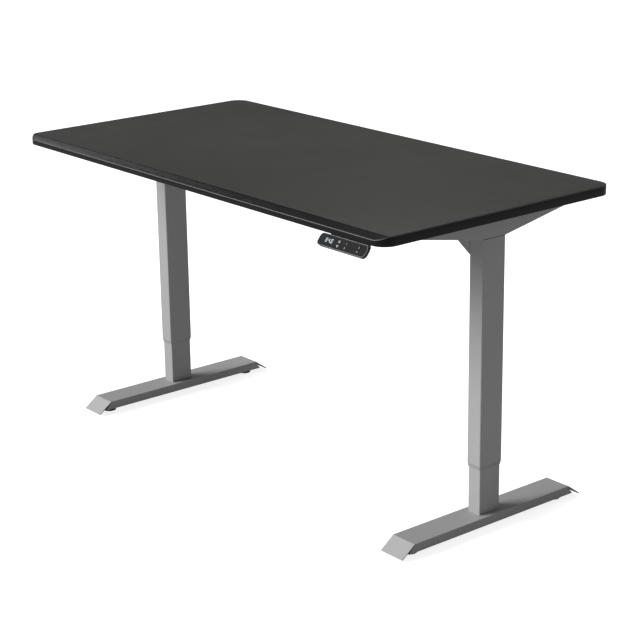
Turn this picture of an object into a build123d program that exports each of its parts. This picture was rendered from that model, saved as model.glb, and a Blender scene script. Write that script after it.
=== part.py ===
from build123d import *
import os
from math import pi

# Height adjustable standing desk: a bevelled top on a steel frame with two motor-driven
# telescopic legs. Millimetres, +X right, +Y back, +Z up. The origin is on the floor, in the
# middle of the desk's overall outline, and the desk is drawn part of the way up its travel.

# ---- Heights ----
LOWEST_HEIGHT = 728.0        # floor to work surface, fully down
DRAWN_RAISE = 120.0          # how far up the desk stands as drawn
FOOT_HEIGHT = 38.0           # floor to the top of a foot
BRACKET_HEIGHT = 64.0        # side bracket, at the leg
COLLAR_GAP = 2.6             # collar to foot, fully down

# ---- Tabletop ----
TOP_WIDTH = 1524.0
TOP_DEPTH = 762.0
TOP_THICKNESS = 25.4
TOP_CORNER_RADIUS = 40.0
TOP_EDGE_RADIUS = 1.8
BEVEL_DROP = 11.0            # comfort bevel along the front edge
BEVEL_DEPTH = 13.0

# ---- Telescopic legs ----
LEG_INSET = 96.0             # each leg's axis, in from the tabletop's end
LEG_SETBACK = 42.0           # legs' axis, behind the middle of the tabletop
OUTER_X = 46.6
OUTER_Y = 76.0
OUTER_WALL = 1.5
OUTER_CORNER = 3.0
TUBE_GAP_X = 0.8             # inner tube to outer tube, each side
TUBE_GAP_Y = 1.8
INNER_WALL = 1.5
INNER_CORNER = 2.5
HEAD_ROOM = 20.0             # inner tube's top below the outer tube's top, fully down
COLLAR_HEIGHT = 10.0
COLLAR_SPIGOT = 22.0
COLLAR_TAPER_X = 1.4
COLLAR_TAPER_Y = 2.2
SLIDE_CLEARANCE = 0.3
SLEEVE_HEIGHT = 44.0
BASE_PLATE_THICKNESS = 8.0

# ---- Lifting spindles and their gearboxes ----
SPINDLE_RADIUS = 8.0
SPINDLE_END_GAP = 22.3       # spindle's lower end above the foot, fully down
SPINDLE_TIP = 1.5            # chamfer at the lower end
JOURNAL_RADIUS = 5.0
RUNNING_CLEARANCE = 0.05
NUT_RADIUS = 13.0
NUT_HEIGHT = 40.0
NUT_FLANGE_MARGIN = 1.5      # nut's flange to the inner tube's wall
NUT_FLANGE_HEIGHT = 5.0
CARRIER_HEIGHT = 30.0
BEARING_RADIUS = 13.0
BEARING_HEIGHT = 8.0
WHEEL_RADIUS = 14.0
WHEEL_WIDTH = 14.0
WHEEL_TEETH = 28
TOOTH_DEPTH = 1.6
WORM_RADIUS = 7.0
WORM_END_WALL = 7.6          # housing left beyond the worm's end bearing
WORM_PITCH = 3.2
MESH_GAP = 0.3
GEARBOX_GAP_X = 0.3          # housing to the bracket's web
GEARBOX_GAP_Y = 1.5          # housing to the leg head's cheeks
GEARBOX_WALL = 4.8           # housing round the wheel's chamber
GEARBOX_SPIGOT = 12.0
GEARBOX_COVER = 3.0
DRIVE_HEIGHT = 31.4          # worm's axis above the top of the leg
CHAMBER_CLEARANCE = 1.2
CHAMBER_FLOOR = 14.0

# ---- Motors ----
MOTOR_SIDE_GAP = 5.2         # motor's case to the rear rail
MOTOR_LENGTH = 108.0
MOTOR_WALL = 1.6
MOTOR_END_WALL = 4.0
ROTOR_GAP = 1.4              # rotor to the inside of the case
ROTOR_LENGTH = 78.0
SHAFT_RADIUS = 4.0

# ---- Frame under the tabletop ----
SHEET = 2.5                  # folded steel of the brackets and leg heads
BRACKET_REACH = 293.0        # bracket's length, each way from the leg
BRACKET_END_HEIGHT = 17.0
FLANGE_WIDTH = 98.0
FLANGE_END_WIDTH = 44.0
FLANGE_SHOULDER = 70.0       # half-length of the flange's full-width stretch
HEAD_REACH = 200.0           # leg head's length, from the leg's axis towards the middle
GUSSET_DROP = 45.0           # gusset below the top of the leg
GUSSET_SLOPE = 0.65          # rise over run of the gusset's edge
RAIL_HEIGHT = 52.0
RAIL_DEPTH = 14.0
RAIL_SHEET = 2.0
RAIL_START = 88.0            # rail's end, from the leg's axis

# ---- Feet ----
FOOT_WIDTH = 78.0
FOOT_LENGTH = 546.0          # between the two bends
FOOT_PLATE = 2.5
LIP_RUN = 41.0
LIP_DROP = 30.0
LIP_BEND_RADIUS = 3.0
FOOT_RAIL_SETBACK = 1.5      # channel's sides, in from the plate's edges
FOOT_RAIL_WALL = 2.5
FOOT_RAIL_BOTTOM = 14.0
FOOT_RAIL_FLARE = 16.0
FOOT_RAIL_INSET = 3.0

# ---- Levelling glides ----
GLIDE_SPACING = 508.0
GLIDE_RADIUS = 19.0
GLIDE_PAD_HEIGHT = 11.0
GLIDE_PAD_ROUNDING = 3.6
GLIDE_HEX_RADIUS = 8.0
GLIDE_HEX_HEIGHT = 5.0
GLIDE_STUD_RADIUS = 4.0
GLIDE_STUD_LENGTH = 16.0
GLIDE_NUT_RADIUS = 9.0
HEXAGON = 6

# ---- Handset ----
HANDSET_INSET = 130.0        # handset's middle, in from the tabletop's right end
HANDSET_WIDTH = 167.0
HANDSET_REACH = 20.0         # lower edge, in front of the tabletop
HANDSET_DROP = 25.0          # lower edge, below the upper edge
HANDSET_GAP = 1.0            # upper edge, below the tabletop
HANDSET_CORNER = 11.0
HANDSET_THICKNESS = 9.0
PANEL_MARGIN = 1.6
PANEL_THICKNESS = 1.6
BOARD_THICKNESS = 1.6
DISPLAY_X = 30.0
DISPLAY_Y = 13.0
DISPLAY_THICKNESS = 2.8
DISPLAY_OFFSET = 52.0
POCKET_MARGIN = 5.0
NECK_WIDTH = 110.0
NECK_DEPTH = 26.0
NECK_HEIGHT = 20.0
NECK_FLANGE_DEPTH = 28.0
NECK_FLANGE_THICKNESS = 3.5
NECK_SETBACK = 3.0

# ---- Control box ----
BOX_X = 236.0
BOX_Y = 92.0
BOX_HEIGHT = 36.0
BOX_WALL = 2.0
BOX_LID = 3.0
BOX_EAR = 14.0
BOX_CORNER = 5.0
BOX_SETBACK = 60.0           # box, behind the legs' axis
INLET_X = 28.0
INLET_Z = 21.0
INLET_DEPTH = 17.0
INLET_OFFSET = 70.0
INLET_PIN_X = 4.7
SOCKET_X = 16.0
SOCKET_Z = 14.0
SOCKET_DEPTH = 13.0
SOCKET_SPACING = 34.0
SOCKET_FLOOR = 8.0           # sockets' height above the box's floor
PIN_RADIUS = 1.2

# ---- Fasteners ----
SCREW_CLEARANCE = 0.25
WOOD_SCREW_RADIUS = 2.2
WOOD_SCREW_HEAD_RADIUS = 4.5
WOOD_SCREW_HEAD_HEIGHT = 2.6
WOOD_SCREW_DEPTH = 16.0
PILOT_CLEARANCE = 0.05
PILOT_SPARE = 1.0            # pilot hole's depth beyond the screw's tip
M6_RADIUS = 3.0
M6_HEAD_RADIUS = 5.2
M6_HEAD_HEIGHT = 3.3
M5_RADIUS = 2.5
M5_HEAD_RADIUS = 4.8
M5_LENGTH = 28.0
SEAT = 0.02                  # clearance of one fixed piece in another

# ---- Places worked out from the sizes above ----
leg_x = TOP_WIDTH / 2 - LEG_INSET
handset_x = TOP_WIDTH / 2 - HANDSET_INSET
top_height = LOWEST_HEIGHT + DRAWN_RAISE
underside = top_height - TOP_THICKNESS
leg_top = underside - BRACKET_HEIGHT
column_length = LOWEST_HEIGHT - TOP_THICKNESS - BRACKET_HEIGHT - FOOT_HEIGHT - COLLAR_GAP
collar_bottom = leg_top - column_length
inner_length = column_length - HEAD_ROOM
inner_top = FOOT_HEIGHT + inner_length
spindle_shoulder = leg_top - GEARBOX_SPIGOT - SLIDE_CLEARANCE
spindle_length = spindle_shoulder - DRAWN_RAISE - FOOT_HEIGHT - SPINDLE_END_GAP
top_y = HANDSET_REACH / 2
top_front = top_y - TOP_DEPTH / 2
leg_y = top_y + LEG_SETBACK
cavity_x = OUTER_X - 2 * OUTER_WALL
cavity_y = OUTER_Y - 2 * OUTER_WALL
inner_x = cavity_x - 2 * TUBE_GAP_X
inner_y = cavity_y - 2 * TUBE_GAP_Y
inner_cavity_x = inner_x - 2 * INNER_WALL
inner_cavity_y = inner_y - 2 * INNER_WALL
nut_flange_radius = inner_cavity_x / 2 - NUT_FLANGE_MARGIN
gearbox_x = OUTER_X - 2 * SHEET - 2 * GEARBOX_GAP_X
gearbox_y = OUTER_Y - 2 * SHEET - 2 * GEARBOX_GAP_Y
worm_length = gearbox_x - 2 * CHAMBER_CLEARANCE - WORM_RADIUS - WORM_END_WALL
spindle_y = leg_y - gearbox_y / 2 + WHEEL_RADIUS + CHAMBER_CLEARANCE + GEARBOX_WALL
worm_y = spindle_y + WHEEL_RADIUS + WORM_RADIUS + MESH_GAP
drive_z = leg_top + DRIVE_HEIGHT
motor_radius = leg_y + OUTER_Y / 2 - SHEET - RAIL_SHEET - MOTOR_SIDE_GAP - worm_y
rotor_radius = motor_radius - MOTOR_WALL - ROTOR_GAP
flange_bottom = underside - SHEET
head_top = flange_bottom
head_bottom = head_top - SHEET
rail_top = head_bottom
gearbox_top = head_bottom - GEARBOX_COVER
rail_y = OUTER_Y / 2 - SHEET
foot_web_bottom = FOOT_HEIGHT - FOOT_PLATE - FOOT_RAIL_WALL
foot_rail_width = FOOT_WIDTH - 2 * FOOT_RAIL_SETBACK
glide_seat = GLIDE_PAD_HEIGHT + GLIDE_HEX_HEIGHT

BRACKET_SCREW_YS = [side * reach for side in (-1, 1) for reach in (100.0, 180.0, 262.0)]
BRACKET_SCREW_INSET = 25.0
HEAD_SCREW_DISTANCES = (34.0, 62.0)
HEAD_SCREW_Y = 18.0
RAIL_SCREW_DISTANCES = (120.0, 170.0)
GEARBOX_SCREW_EDGE = 5.0     # screws' axes, in from the housing's sides
FOOT_BOLT_EDGE = 7.5         # bolts' axes, in from the inner tube's walls
HANDSET_SCREW_X = 42.0
BOX_BOARD_LIFT = 5.0
BOARD_POST_X = 80.0
FULL_TURN = 360.0
SIDES = {"left": -1, "right": 1}
ENDS = {"front": -1, "rear": 1}


# ---- Shapes used again and again ----
def block(size_x, size_y, size_z, x, y, z):
    """A box centred on x, y with its bottom at z."""
    return Pos(x, y, z) * Box(size_x, size_y, size_z, align=(Align.CENTER, Align.CENTER, Align.MIN))


def rounded_block(size_x, size_y, size_z, corner, x, y, z):
    """A box with rounded upright corners, centred on x, y with its bottom at z."""
    return extrude(Pos(x, y, z) * RectangleRounded(size_x, size_y, corner), amount=size_z)


def upright(radius, height, x, y, z):
    """An upright cylinder with its bottom at z."""
    return Pos(x, y, z) * Cylinder(radius, height, align=(Align.CENTER, Align.CENTER, Align.MIN))


def rod_x(radius, x_from, x_to, y, z):
    """A cylinder lying along X between two ends."""
    length = abs(x_to - x_from)
    middle = (x_from + x_to) / 2
    return Pos(middle, y, z) * Rot(0, 90, 0) * Cylinder(radius, length)


def rod_y(radius, y_from, y_to, x, z):
    """A cylinder lying along Y between two ends."""
    length = abs(y_to - y_from)
    middle = (y_from + y_to) / 2
    return Pos(x, middle, z) * Rot(90, 0, 0) * Cylinder(radius, length)


def plate_yz(points, x_low, thickness):
    """A plate outlined in Y and Z, standing between x_low and x_low + thickness."""
    outline = make_face(Polyline(*points, close=True))
    plane = Plane(origin=(x_low, 0, 0), x_dir=(0, 1, 0), z_dir=(1, 0, 0))
    return extrude(plane * outline, amount=thickness)


def plate_xz(points, y_low, thickness):
    """A plate outlined in X and Z, standing between y_low and y_low + thickness."""
    outline = make_face(Polyline(*points, close=True))
    plane = Plane(origin=(0, y_low + thickness, 0), x_dir=(1, 0, 0), z_dir=(0, -1, 0))
    return extrude(plane * outline, amount=thickness)


def span_x(x_one, x_two, size_y, size_z, y, z):
    """A box between two X values, whichever is lower, centred on y with its bottom at z."""
    return block(abs(x_two - x_one), size_y, size_z, (x_one + x_two) / 2, y, z)


def corner_places(x, size_x, size_y, edge):
    """The four places that far in from the sides of a rectangle on a leg's axis."""
    places = []
    for step in (-1, 1):
        for along in (-1, 1):
            places.append((x + step * (size_x / 2 - edge), leg_y + along * (size_y / 2 - edge)))
    return places


# ---- Tabletop ----
def bracket_screw_places():
    places = []
    for side in SIDES.values():
        for offset in BRACKET_SCREW_YS:
            places.append((side * (leg_x - BRACKET_SCREW_INSET), leg_y + offset))
    return places


def handset_screw_places():
    y = top_front + NECK_SETBACK + NECK_DEPTH + NECK_FLANGE_DEPTH / 2
    return [(handset_x + step * HANDSET_SCREW_X, y) for step in (-1, 1)]


def box_screw_places():
    y = leg_y + BOX_SETBACK + BOX_Y / 2
    reach = BOX_X / 2 + BOX_EAR / 2
    return [(step * reach, y + along * BOX_Y / 4) for step in (-1, 1) for along in (-1, 1)]


def tabletop():
    top = rounded_block(TOP_WIDTH, TOP_DEPTH, TOP_THICKNESS, TOP_CORNER_RADIUS, 0, top_y, underside)
    rims = top.edges().group_by(Axis.Z)
    top = fillet(rims[0] + rims[-1], TOP_EDGE_RADIUS)
    wedge = [
        (top_front - 1, top_height + 1),
        (top_front + BEVEL_DEPTH, top_height + 1),
        (top_front + BEVEL_DEPTH, top_height),
        (top_front, top_height - BEVEL_DROP),
        (top_front - 1, top_height - BEVEL_DROP),
    ]
    top -= plate_yz(wedge, -TOP_WIDTH / 2, TOP_WIDTH)
    for x, y in bracket_screw_places() + handset_screw_places() + box_screw_places():
        top -= upright(WOOD_SCREW_RADIUS + PILOT_CLEARANCE, WOOD_SCREW_DEPTH, x, y, underside)
    return top


# ---- Frame under the tabletop ----
def side_bracket(side):
    """An L of folded steel along the leg's outer face, tapering to both ends."""
    face = side * (leg_x + OUTER_X / 2)
    outline = [
        (leg_y - BRACKET_REACH, underside),
        (leg_y + BRACKET_REACH, underside),
        (leg_y + BRACKET_REACH, underside - BRACKET_END_HEIGHT),
        (leg_y + OUTER_Y / 2, leg_top),
        (leg_y - OUTER_Y / 2, leg_top),
        (leg_y - BRACKET_REACH, underside - BRACKET_END_HEIGHT),
    ]
    web = plate_yz(outline, min(face, face - side * SHEET), SHEET)
    plan = [
        (face, leg_y - BRACKET_REACH),
        (face - side * FLANGE_END_WIDTH, leg_y - BRACKET_REACH),
        (face - side * FLANGE_WIDTH, leg_y - FLANGE_SHOULDER),
        (face - side * FLANGE_WIDTH, leg_y + FLANGE_SHOULDER),
        (face - side * FLANGE_END_WIDTH, leg_y + BRACKET_REACH),
        (face, leg_y + BRACKET_REACH),
    ]
    flange_outline = Pos(0, 0, flange_bottom) * make_face(Polyline(*plan, close=True))
    flange = extrude(flange_outline, amount=SHEET, dir=(0, 0, 1))
    bracket = web + flange
    for x, y in bracket_screw_places():
        if x * side > 0:
            bracket -= upright(WOOD_SCREW_RADIUS + SCREW_CLEARANCE, SHEET, x, y, flange_bottom)
    for x, y in head_screw_places(side):
        bracket -= upright(M6_RADIUS + SEAT, SHEET, x, y, flange_bottom)
    return bracket


def head_screw_places(side):
    places = []
    for reach in HEAD_SCREW_DISTANCES:
        for step in (-1, 1):
            places.append((side * (leg_x - reach), leg_y + step * HEAD_SCREW_Y))
    return places


def rail_screw_xs(side):
    return [side * (leg_x - reach) for reach in RAIL_SCREW_DISTANCES]


def gearbox_screw_places(side):
    return corner_places(side * leg_x, gearbox_x, gearbox_y, GEARBOX_SCREW_EDGE)


def leg_head(side):
    """A channel over the gearbox, with gusseted cheeks, that takes the crossbar rails."""
    outer_end = side * (leg_x + OUTER_X / 2 - SHEET)
    inner_end = side * (leg_x - HEAD_REACH)
    web = span_x(outer_end, inner_end, OUTER_Y, SHEET, leg_y, head_bottom)
    face = side * (leg_x - OUTER_X / 2)
    rail_bottom = rail_top - RAIL_HEIGHT
    gusset_low = leg_top - GUSSET_DROP
    gusset_run = (rail_bottom - gusset_low) / GUSSET_SLOPE
    cheek = [
        (outer_end, head_top),
        (inner_end, head_top),
        (inner_end, rail_bottom),
        (face - side * gusset_run, rail_bottom),
        (face, gusset_low),
        (face, leg_top),
        (outer_end, leg_top),
    ]
    front_cheek = plate_xz(cheek, leg_y - OUTER_Y / 2, SHEET)
    rear_cheek = plate_xz(cheek, leg_y + OUTER_Y / 2 - SHEET, SHEET)
    head = web + front_cheek + rear_cheek
    for x, y in head_screw_places(side):
        head -= upright(M6_RADIUS + SCREW_CLEARANCE, SHEET, x, y, head_bottom)
    for x, y in gearbox_screw_places(side):
        head -= countersink(M5_RADIUS + SCREW_CLEARANCE, M5_HEAD_RADIUS + SCREW_CLEARANCE, x, y)
    screw_z = rail_top - RAIL_HEIGHT / 2
    for x in rail_screw_xs(side):
        head -= rod_y(M6_RADIUS + SCREW_CLEARANCE, leg_y - OUTER_Y, leg_y + OUTER_Y, x, screw_z)
    return head


def countersink(radius, head_radius, x, y):
    """The hollow for a flat-headed screw through the leg head's web."""
    cone = Cone(radius, head_radius, SHEET, align=(Align.CENTER, Align.CENTER, Align.MIN))
    return Pos(x, y, head_bottom) * cone


def crossbar_rail(end):
    """A C rail inside the leg heads' cheeks, its flanges turned inwards."""
    half = leg_x - RAIL_START
    outer = leg_y + end * rail_y
    bottom = rail_top - RAIL_HEIGHT
    web = block(2 * half, RAIL_SHEET, RAIL_HEIGHT, 0, outer - end * RAIL_SHEET / 2, bottom)
    flange_y = outer - end * RAIL_DEPTH / 2
    upper = block(2 * half, RAIL_DEPTH, RAIL_SHEET, 0, flange_y, rail_top - RAIL_SHEET)
    lower = block(2 * half, RAIL_DEPTH, RAIL_SHEET, 0, flange_y, bottom)
    rail = web + upper + lower
    screw_z = rail_top - RAIL_HEIGHT / 2
    for side in SIDES.values():
        for x in rail_screw_xs(side):
            rail -= rod_y(M6_RADIUS + SEAT, outer - OUTER_Y / 4, outer + OUTER_Y / 4, x, screw_z)
    return rail


# ---- Telescopic legs ----
def outer_tube(side):
    x = side * leg_x
    bottom = collar_bottom + COLLAR_HEIGHT
    height = leg_top - bottom
    tube = rounded_block(OUTER_X, OUTER_Y, height, OUTER_CORNER, x, leg_y, bottom)
    return tube - rounded_block(cavity_x, cavity_y, height, OUTER_CORNER - OUTER_WALL, x, leg_y, bottom)


def leg_collar(side):
    """A tapered ring under the outer tube, with a spigot that lines the tube."""
    x = side * leg_x
    joint = collar_bottom + COLLAR_HEIGHT
    upper = Pos(x, leg_y, joint) * RectangleRounded(OUTER_X, OUTER_Y, OUTER_CORNER)
    lower_x = OUTER_X - 2 * COLLAR_TAPER_X
    lower_y = OUTER_Y - 2 * COLLAR_TAPER_Y
    lower = Pos(x, leg_y, collar_bottom) * RectangleRounded(lower_x, lower_y, OUTER_CORNER)
    ring = loft([lower.face(), upper.face()])
    spigot_corner = OUTER_CORNER - OUTER_WALL
    ring += rounded_block(cavity_x, cavity_y, COLLAR_SPIGOT, spigot_corner, x, leg_y, joint)
    bore_x = inner_x + 2 * SLIDE_CLEARANCE
    bore_y = inner_y + 2 * SLIDE_CLEARANCE
    depth = COLLAR_HEIGHT + COLLAR_SPIGOT
    return ring - rounded_block(bore_x, bore_y, depth, INNER_CORNER, x, leg_y, collar_bottom)


def inner_tube(side):
    x = side * leg_x
    tube = rounded_block(inner_x, inner_y, inner_length, INNER_CORNER, x, leg_y, FOOT_HEIGHT)
    corner = INNER_CORNER - INNER_WALL
    return tube - rounded_block(inner_cavity_x, inner_cavity_y, inner_length, corner, x, leg_y, FOOT_HEIGHT)


def guide_sleeve(side):
    """The plastic sleeve round the top of the inner tube that runs inside the outer tube."""
    x = side * leg_x
    bottom = inner_top - SLEEVE_HEIGHT
    size_x = cavity_x - 2 * SLIDE_CLEARANCE
    size_y = cavity_y - 2 * SLIDE_CLEARANCE
    sleeve = rounded_block(size_x, size_y, SLEEVE_HEIGHT, INNER_CORNER, x, leg_y, bottom)
    return sleeve - rounded_block(inner_x, inner_y, SLEEVE_HEIGHT, INNER_CORNER, x, leg_y, bottom)


def leg_base_plate(side):
    """The plate welded into the foot of the inner tube, tapped for the foot's bolts."""
    x = side * leg_x
    corner = INNER_CORNER - INNER_WALL
    plate = rounded_block(inner_cavity_x, inner_cavity_y, BASE_PLATE_THICKNESS, corner, x, leg_y, FOOT_HEIGHT)
    for bolt_x, bolt_y in foot_bolt_places(side):
        plate -= upright(M6_RADIUS + SEAT, BASE_PLATE_THICKNESS, bolt_x, bolt_y, FOOT_HEIGHT)
    return plate


# ---- Lifting spindles, nuts and gearboxes ----
def nut_carrier(side):
    x = side * leg_x
    bottom = inner_top - NUT_FLANGE_HEIGHT - CARRIER_HEIGHT
    corner = INNER_CORNER - INNER_WALL
    carrier = rounded_block(inner_cavity_x, inner_cavity_y, CARRIER_HEIGHT, corner, x, leg_y, bottom)
    return carrier - upright(NUT_RADIUS + SEAT, CARRIER_HEIGHT, x, spindle_y, bottom)


def lift_nut(side):
    x = side * leg_x
    nut = upright(NUT_RADIUS, NUT_HEIGHT, x, spindle_y, inner_top - NUT_HEIGHT)
    nut += upright(nut_flange_radius, NUT_FLANGE_HEIGHT, x, spindle_y, inner_top - NUT_FLANGE_HEIGHT)
    return nut - upright(SPINDLE_RADIUS + RUNNING_CLEARANCE, NUT_HEIGHT, x, spindle_y, inner_top - NUT_HEIGHT)


def spindle(side):
    x = side * leg_x
    journal_length = drive_z + WHEEL_WIDTH - spindle_shoulder
    screw = upright(SPINDLE_RADIUS, spindle_length, x, spindle_y, spindle_shoulder - spindle_length)
    screw = chamfer(screw.edges().group_by(Axis.Z)[0], SPINDLE_TIP)
    return screw + upright(JOURNAL_RADIUS, journal_length, x, spindle_y, spindle_shoulder)


def spindle_bearings():
    """The ball bearing under each gearbox, drawn as one closed ring."""
    rings = []
    for side in SIDES.values():
        x = side * leg_x
        bottom = leg_top - GEARBOX_SPIGOT
        ring = upright(BEARING_RADIUS, BEARING_HEIGHT, x, spindle_y, bottom)
        rings.append(ring - upright(JOURNAL_RADIUS + RUNNING_CLEARANCE, BEARING_HEIGHT, x, spindle_y, bottom))
    return rings


def worm_wheel(side):
    x = side * leg_x
    bottom = drive_z - WHEEL_WIDTH / 2
    wheel = upright(WHEEL_RADIUS, WHEEL_WIDTH, x, spindle_y, bottom)
    gap = WHEEL_RADIUS * pi / WHEEL_TEETH
    notch = Pos(WHEEL_RADIUS, 0, 0) * Box(2 * TOOTH_DEPTH, gap, WHEEL_WIDTH)
    for tooth in range(WHEEL_TEETH):
        wheel -= Pos(x, spindle_y, drive_z) * Rot(0, 0, tooth * FULL_TURN / WHEEL_TEETH) * notch
    return wheel - upright(JOURNAL_RADIUS + SEAT, WHEEL_WIDTH, x, spindle_y, bottom)


def gearbox_housing(side):
    x = side * leg_x
    bottom = leg_top - GEARBOX_SPIGOT
    housing = block(gearbox_x, gearbox_y, gearbox_top - leg_top, x, leg_y, leg_top)
    spigot_x = cavity_x - 2 * SEAT
    spigot_y = cavity_y - 2 * SEAT
    housing += rounded_block(spigot_x, spigot_y, GEARBOX_SPIGOT, OUTER_CORNER - OUTER_WALL, x, leg_y, bottom)
    housing -= upright(BEARING_RADIUS + SEAT, BEARING_HEIGHT, x, spindle_y, bottom)
    housing -= upright(JOURNAL_RADIUS + CHAMBER_CLEARANCE, gearbox_top - bottom, x, spindle_y, bottom)
    floor = leg_top + CHAMBER_FLOOR
    housing -= upright(WHEEL_RADIUS + CHAMBER_CLEARANCE, gearbox_top - floor, x, spindle_y, floor)
    mouth = x - side * gearbox_x / 2
    stop = mouth + side * (worm_length + 2 * CHAMBER_CLEARANCE)
    housing -= rod_x(WORM_RADIUS + CHAMBER_CLEARANCE, mouth, stop, worm_y, drive_z)
    housing -= rod_x(SHAFT_RADIUS + RUNNING_CLEARANCE, mouth, stop + side * WORM_RADIUS, worm_y, drive_z)
    for screw_x, screw_y in gearbox_screw_places(side):
        housing -= upright(M5_RADIUS + SEAT, M5_LENGTH, screw_x, screw_y, head_top - M5_LENGTH)
    return housing


def gearbox_cover(side):
    cover = block(gearbox_x, gearbox_y, GEARBOX_COVER, side * leg_x, leg_y, gearbox_top)
    for x, y in gearbox_screw_places(side):
        cover -= upright(M5_RADIUS + SCREW_CLEARANCE, GEARBOX_COVER, x, y, gearbox_top)
    return cover


def motor_case(side):
    """The motor's closed steel can, with a bush at each end for the rotor's shaft."""
    near = side * (leg_x - gearbox_x / 2)
    far = near - side * MOTOR_LENGTH
    case = rod_x(motor_radius, near, far, worm_y, drive_z)
    inner_near = near - side * MOTOR_END_WALL
    inner_far = far + side * MOTOR_END_WALL
    case -= rod_x(motor_radius - MOTOR_WALL, inner_near, inner_far, worm_y, drive_z)
    case -= rod_x(SHAFT_RADIUS + RUNNING_CLEARANCE, near, inner_near, worm_y, drive_z)
    bush_end = far + side * MOTOR_END_WALL / 4
    return case - rod_x(SHAFT_RADIUS + RUNNING_CLEARANCE, inner_far, bush_end, worm_y, drive_z)


def motor_rotor(side):
    """The rotor, its shaft and the worm cut on the shaft's end."""
    near = side * (leg_x - gearbox_x / 2)
    far = near - side * MOTOR_LENGTH
    tip = near + side * (worm_length + 2 * CHAMBER_CLEARANCE + WORM_RADIUS - CHAMBER_CLEARANCE)
    tail = far + side * (MOTOR_END_WALL / 4 + SLIDE_CLEARANCE)
    rotor = rod_x(SHAFT_RADIUS, tip, tail, worm_y, drive_z)
    start = near - side * (MOTOR_LENGTH - ROTOR_LENGTH) / 2
    rotor += rod_x(rotor_radius, start, start - side * ROTOR_LENGTH, worm_y, drive_z)
    worm_start = near + side * CHAMBER_CLEARANCE
    rotor += rod_x(WORM_RADIUS - TOOTH_DEPTH, worm_start, worm_start + side * worm_length, worm_y, drive_z)
    ridges = int(worm_length / WORM_PITCH)
    for ridge in range(ridges):
        ridge_x = worm_start + side * WORM_PITCH * ridge
        rotor += rod_x(WORM_RADIUS, ridge_x, ridge_x + side * WORM_PITCH / 2, worm_y, drive_z)
    return rotor


# ---- Feet ----
def foot_cover(side):
    """The foot's top plate, bent down into a thin lip at each end."""
    half = FOOT_LENGTH / 2
    lip = (LIP_RUN ** 2 + LIP_DROP ** 2) ** 0.5
    drop_y = FOOT_PLATE * LIP_DROP / lip
    drop_z = FOOT_PLATE * LIP_RUN / lip
    inner_half = half - FOOT_PLATE * (lip - LIP_RUN) / LIP_DROP
    outline = [(leg_y - half, FOOT_HEIGHT), (leg_y + half, FOOT_HEIGHT)]
    outline.append((leg_y + half + LIP_RUN, FOOT_HEIGHT - LIP_DROP))
    outline.append((leg_y + half + LIP_RUN - drop_y, FOOT_HEIGHT - LIP_DROP - drop_z))
    outline.append((leg_y + inner_half, FOOT_HEIGHT - FOOT_PLATE))
    outline.append((leg_y - inner_half, FOOT_HEIGHT - FOOT_PLATE))
    outline.append((leg_y - half - LIP_RUN + drop_y, FOOT_HEIGHT - LIP_DROP - drop_z))
    outline.append((leg_y - half - LIP_RUN, FOOT_HEIGHT - LIP_DROP))
    cover = plate_yz(outline, side * leg_x - FOOT_WIDTH / 2, FOOT_WIDTH)
    bends = [edge for edge in cover.edges().filter_by(Axis.X) if is_outer_bend(edge, half)]
    cover = fillet(bends, LIP_BEND_RADIUS)
    for x, y in foot_bolt_places(side):
        cover -= upright(M6_RADIUS + SCREW_CLEARANCE, FOOT_PLATE, x, y, FOOT_HEIGHT - FOOT_PLATE)
    return cover


def is_outer_bend(edge, half):
    centre = edge.center()
    on_top = abs(centre.Z - FOOT_HEIGHT) < FOOT_PLATE / 4
    return on_top and abs(abs(centre.Y - leg_y) - half) < FOOT_PLATE / 4


def foot_bolt_places(side):
    return corner_places(side * leg_x, inner_cavity_x, inner_cavity_y, FOOT_BOLT_EDGE)


def foot_rail(side):
    """The channel under the foot's plate, open below and at its ends."""
    upper = FOOT_LENGTH / 2 - FOOT_RAIL_INSET
    lower = FOOT_LENGTH / 2 + FOOT_RAIL_FLARE
    rail_height = FOOT_HEIGHT - FOOT_PLATE
    outline = [
        (leg_y - upper, rail_height),
        (leg_y + upper, rail_height),
        (leg_y + lower, FOOT_RAIL_BOTTOM),
        (leg_y - lower, FOOT_RAIL_BOTTOM),
    ]
    rail = plate_yz(outline, side * leg_x - foot_rail_width / 2, foot_rail_width)
    inside = foot_rail_width - 2 * FOOT_RAIL_WALL
    rail -= block(inside, 2 * lower, foot_web_bottom, side * leg_x, leg_y, 0)
    for x, y in foot_bolt_places(side):
        rail -= upright(M6_RADIUS + SCREW_CLEARANCE, FOOT_RAIL_WALL, x, y, foot_web_bottom)
    return rail


def glide_nuts():
    """A long nut under each end of each foot's channel, for the glide's stud."""
    nuts = []
    height = foot_web_bottom - glide_seat
    for side in SIDES.values():
        for end in ENDS.values():
            x = side * leg_x
            y = leg_y + end * GLIDE_SPACING / 2
            outline = Pos(x, y, glide_seat) * RegularPolygon(GLIDE_NUT_RADIUS, HEXAGON)
            nut = extrude(outline, amount=height)
            nuts.append(nut - upright(GLIDE_STUD_RADIUS + RUNNING_CLEARANCE, height, x, y, glide_seat))
    return nuts


def glide(side, end):
    """A round pad with a hexagon for a spanner and a threaded stud."""
    x = side * leg_x
    y = leg_y + end * GLIDE_SPACING / 2
    pad = upright(GLIDE_RADIUS, GLIDE_PAD_HEIGHT, x, y, 0)
    rims = pad.edges().group_by(Axis.Z)
    pad = fillet(rims[-1], GLIDE_PAD_ROUNDING)
    hexagon = Pos(x, y, GLIDE_PAD_HEIGHT) * RegularPolygon(GLIDE_HEX_RADIUS, HEXAGON)
    pad += extrude(hexagon, amount=GLIDE_HEX_HEIGHT)
    return pad + upright(GLIDE_STUD_RADIUS, GLIDE_STUD_LENGTH, x, y, glide_seat)


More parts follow.
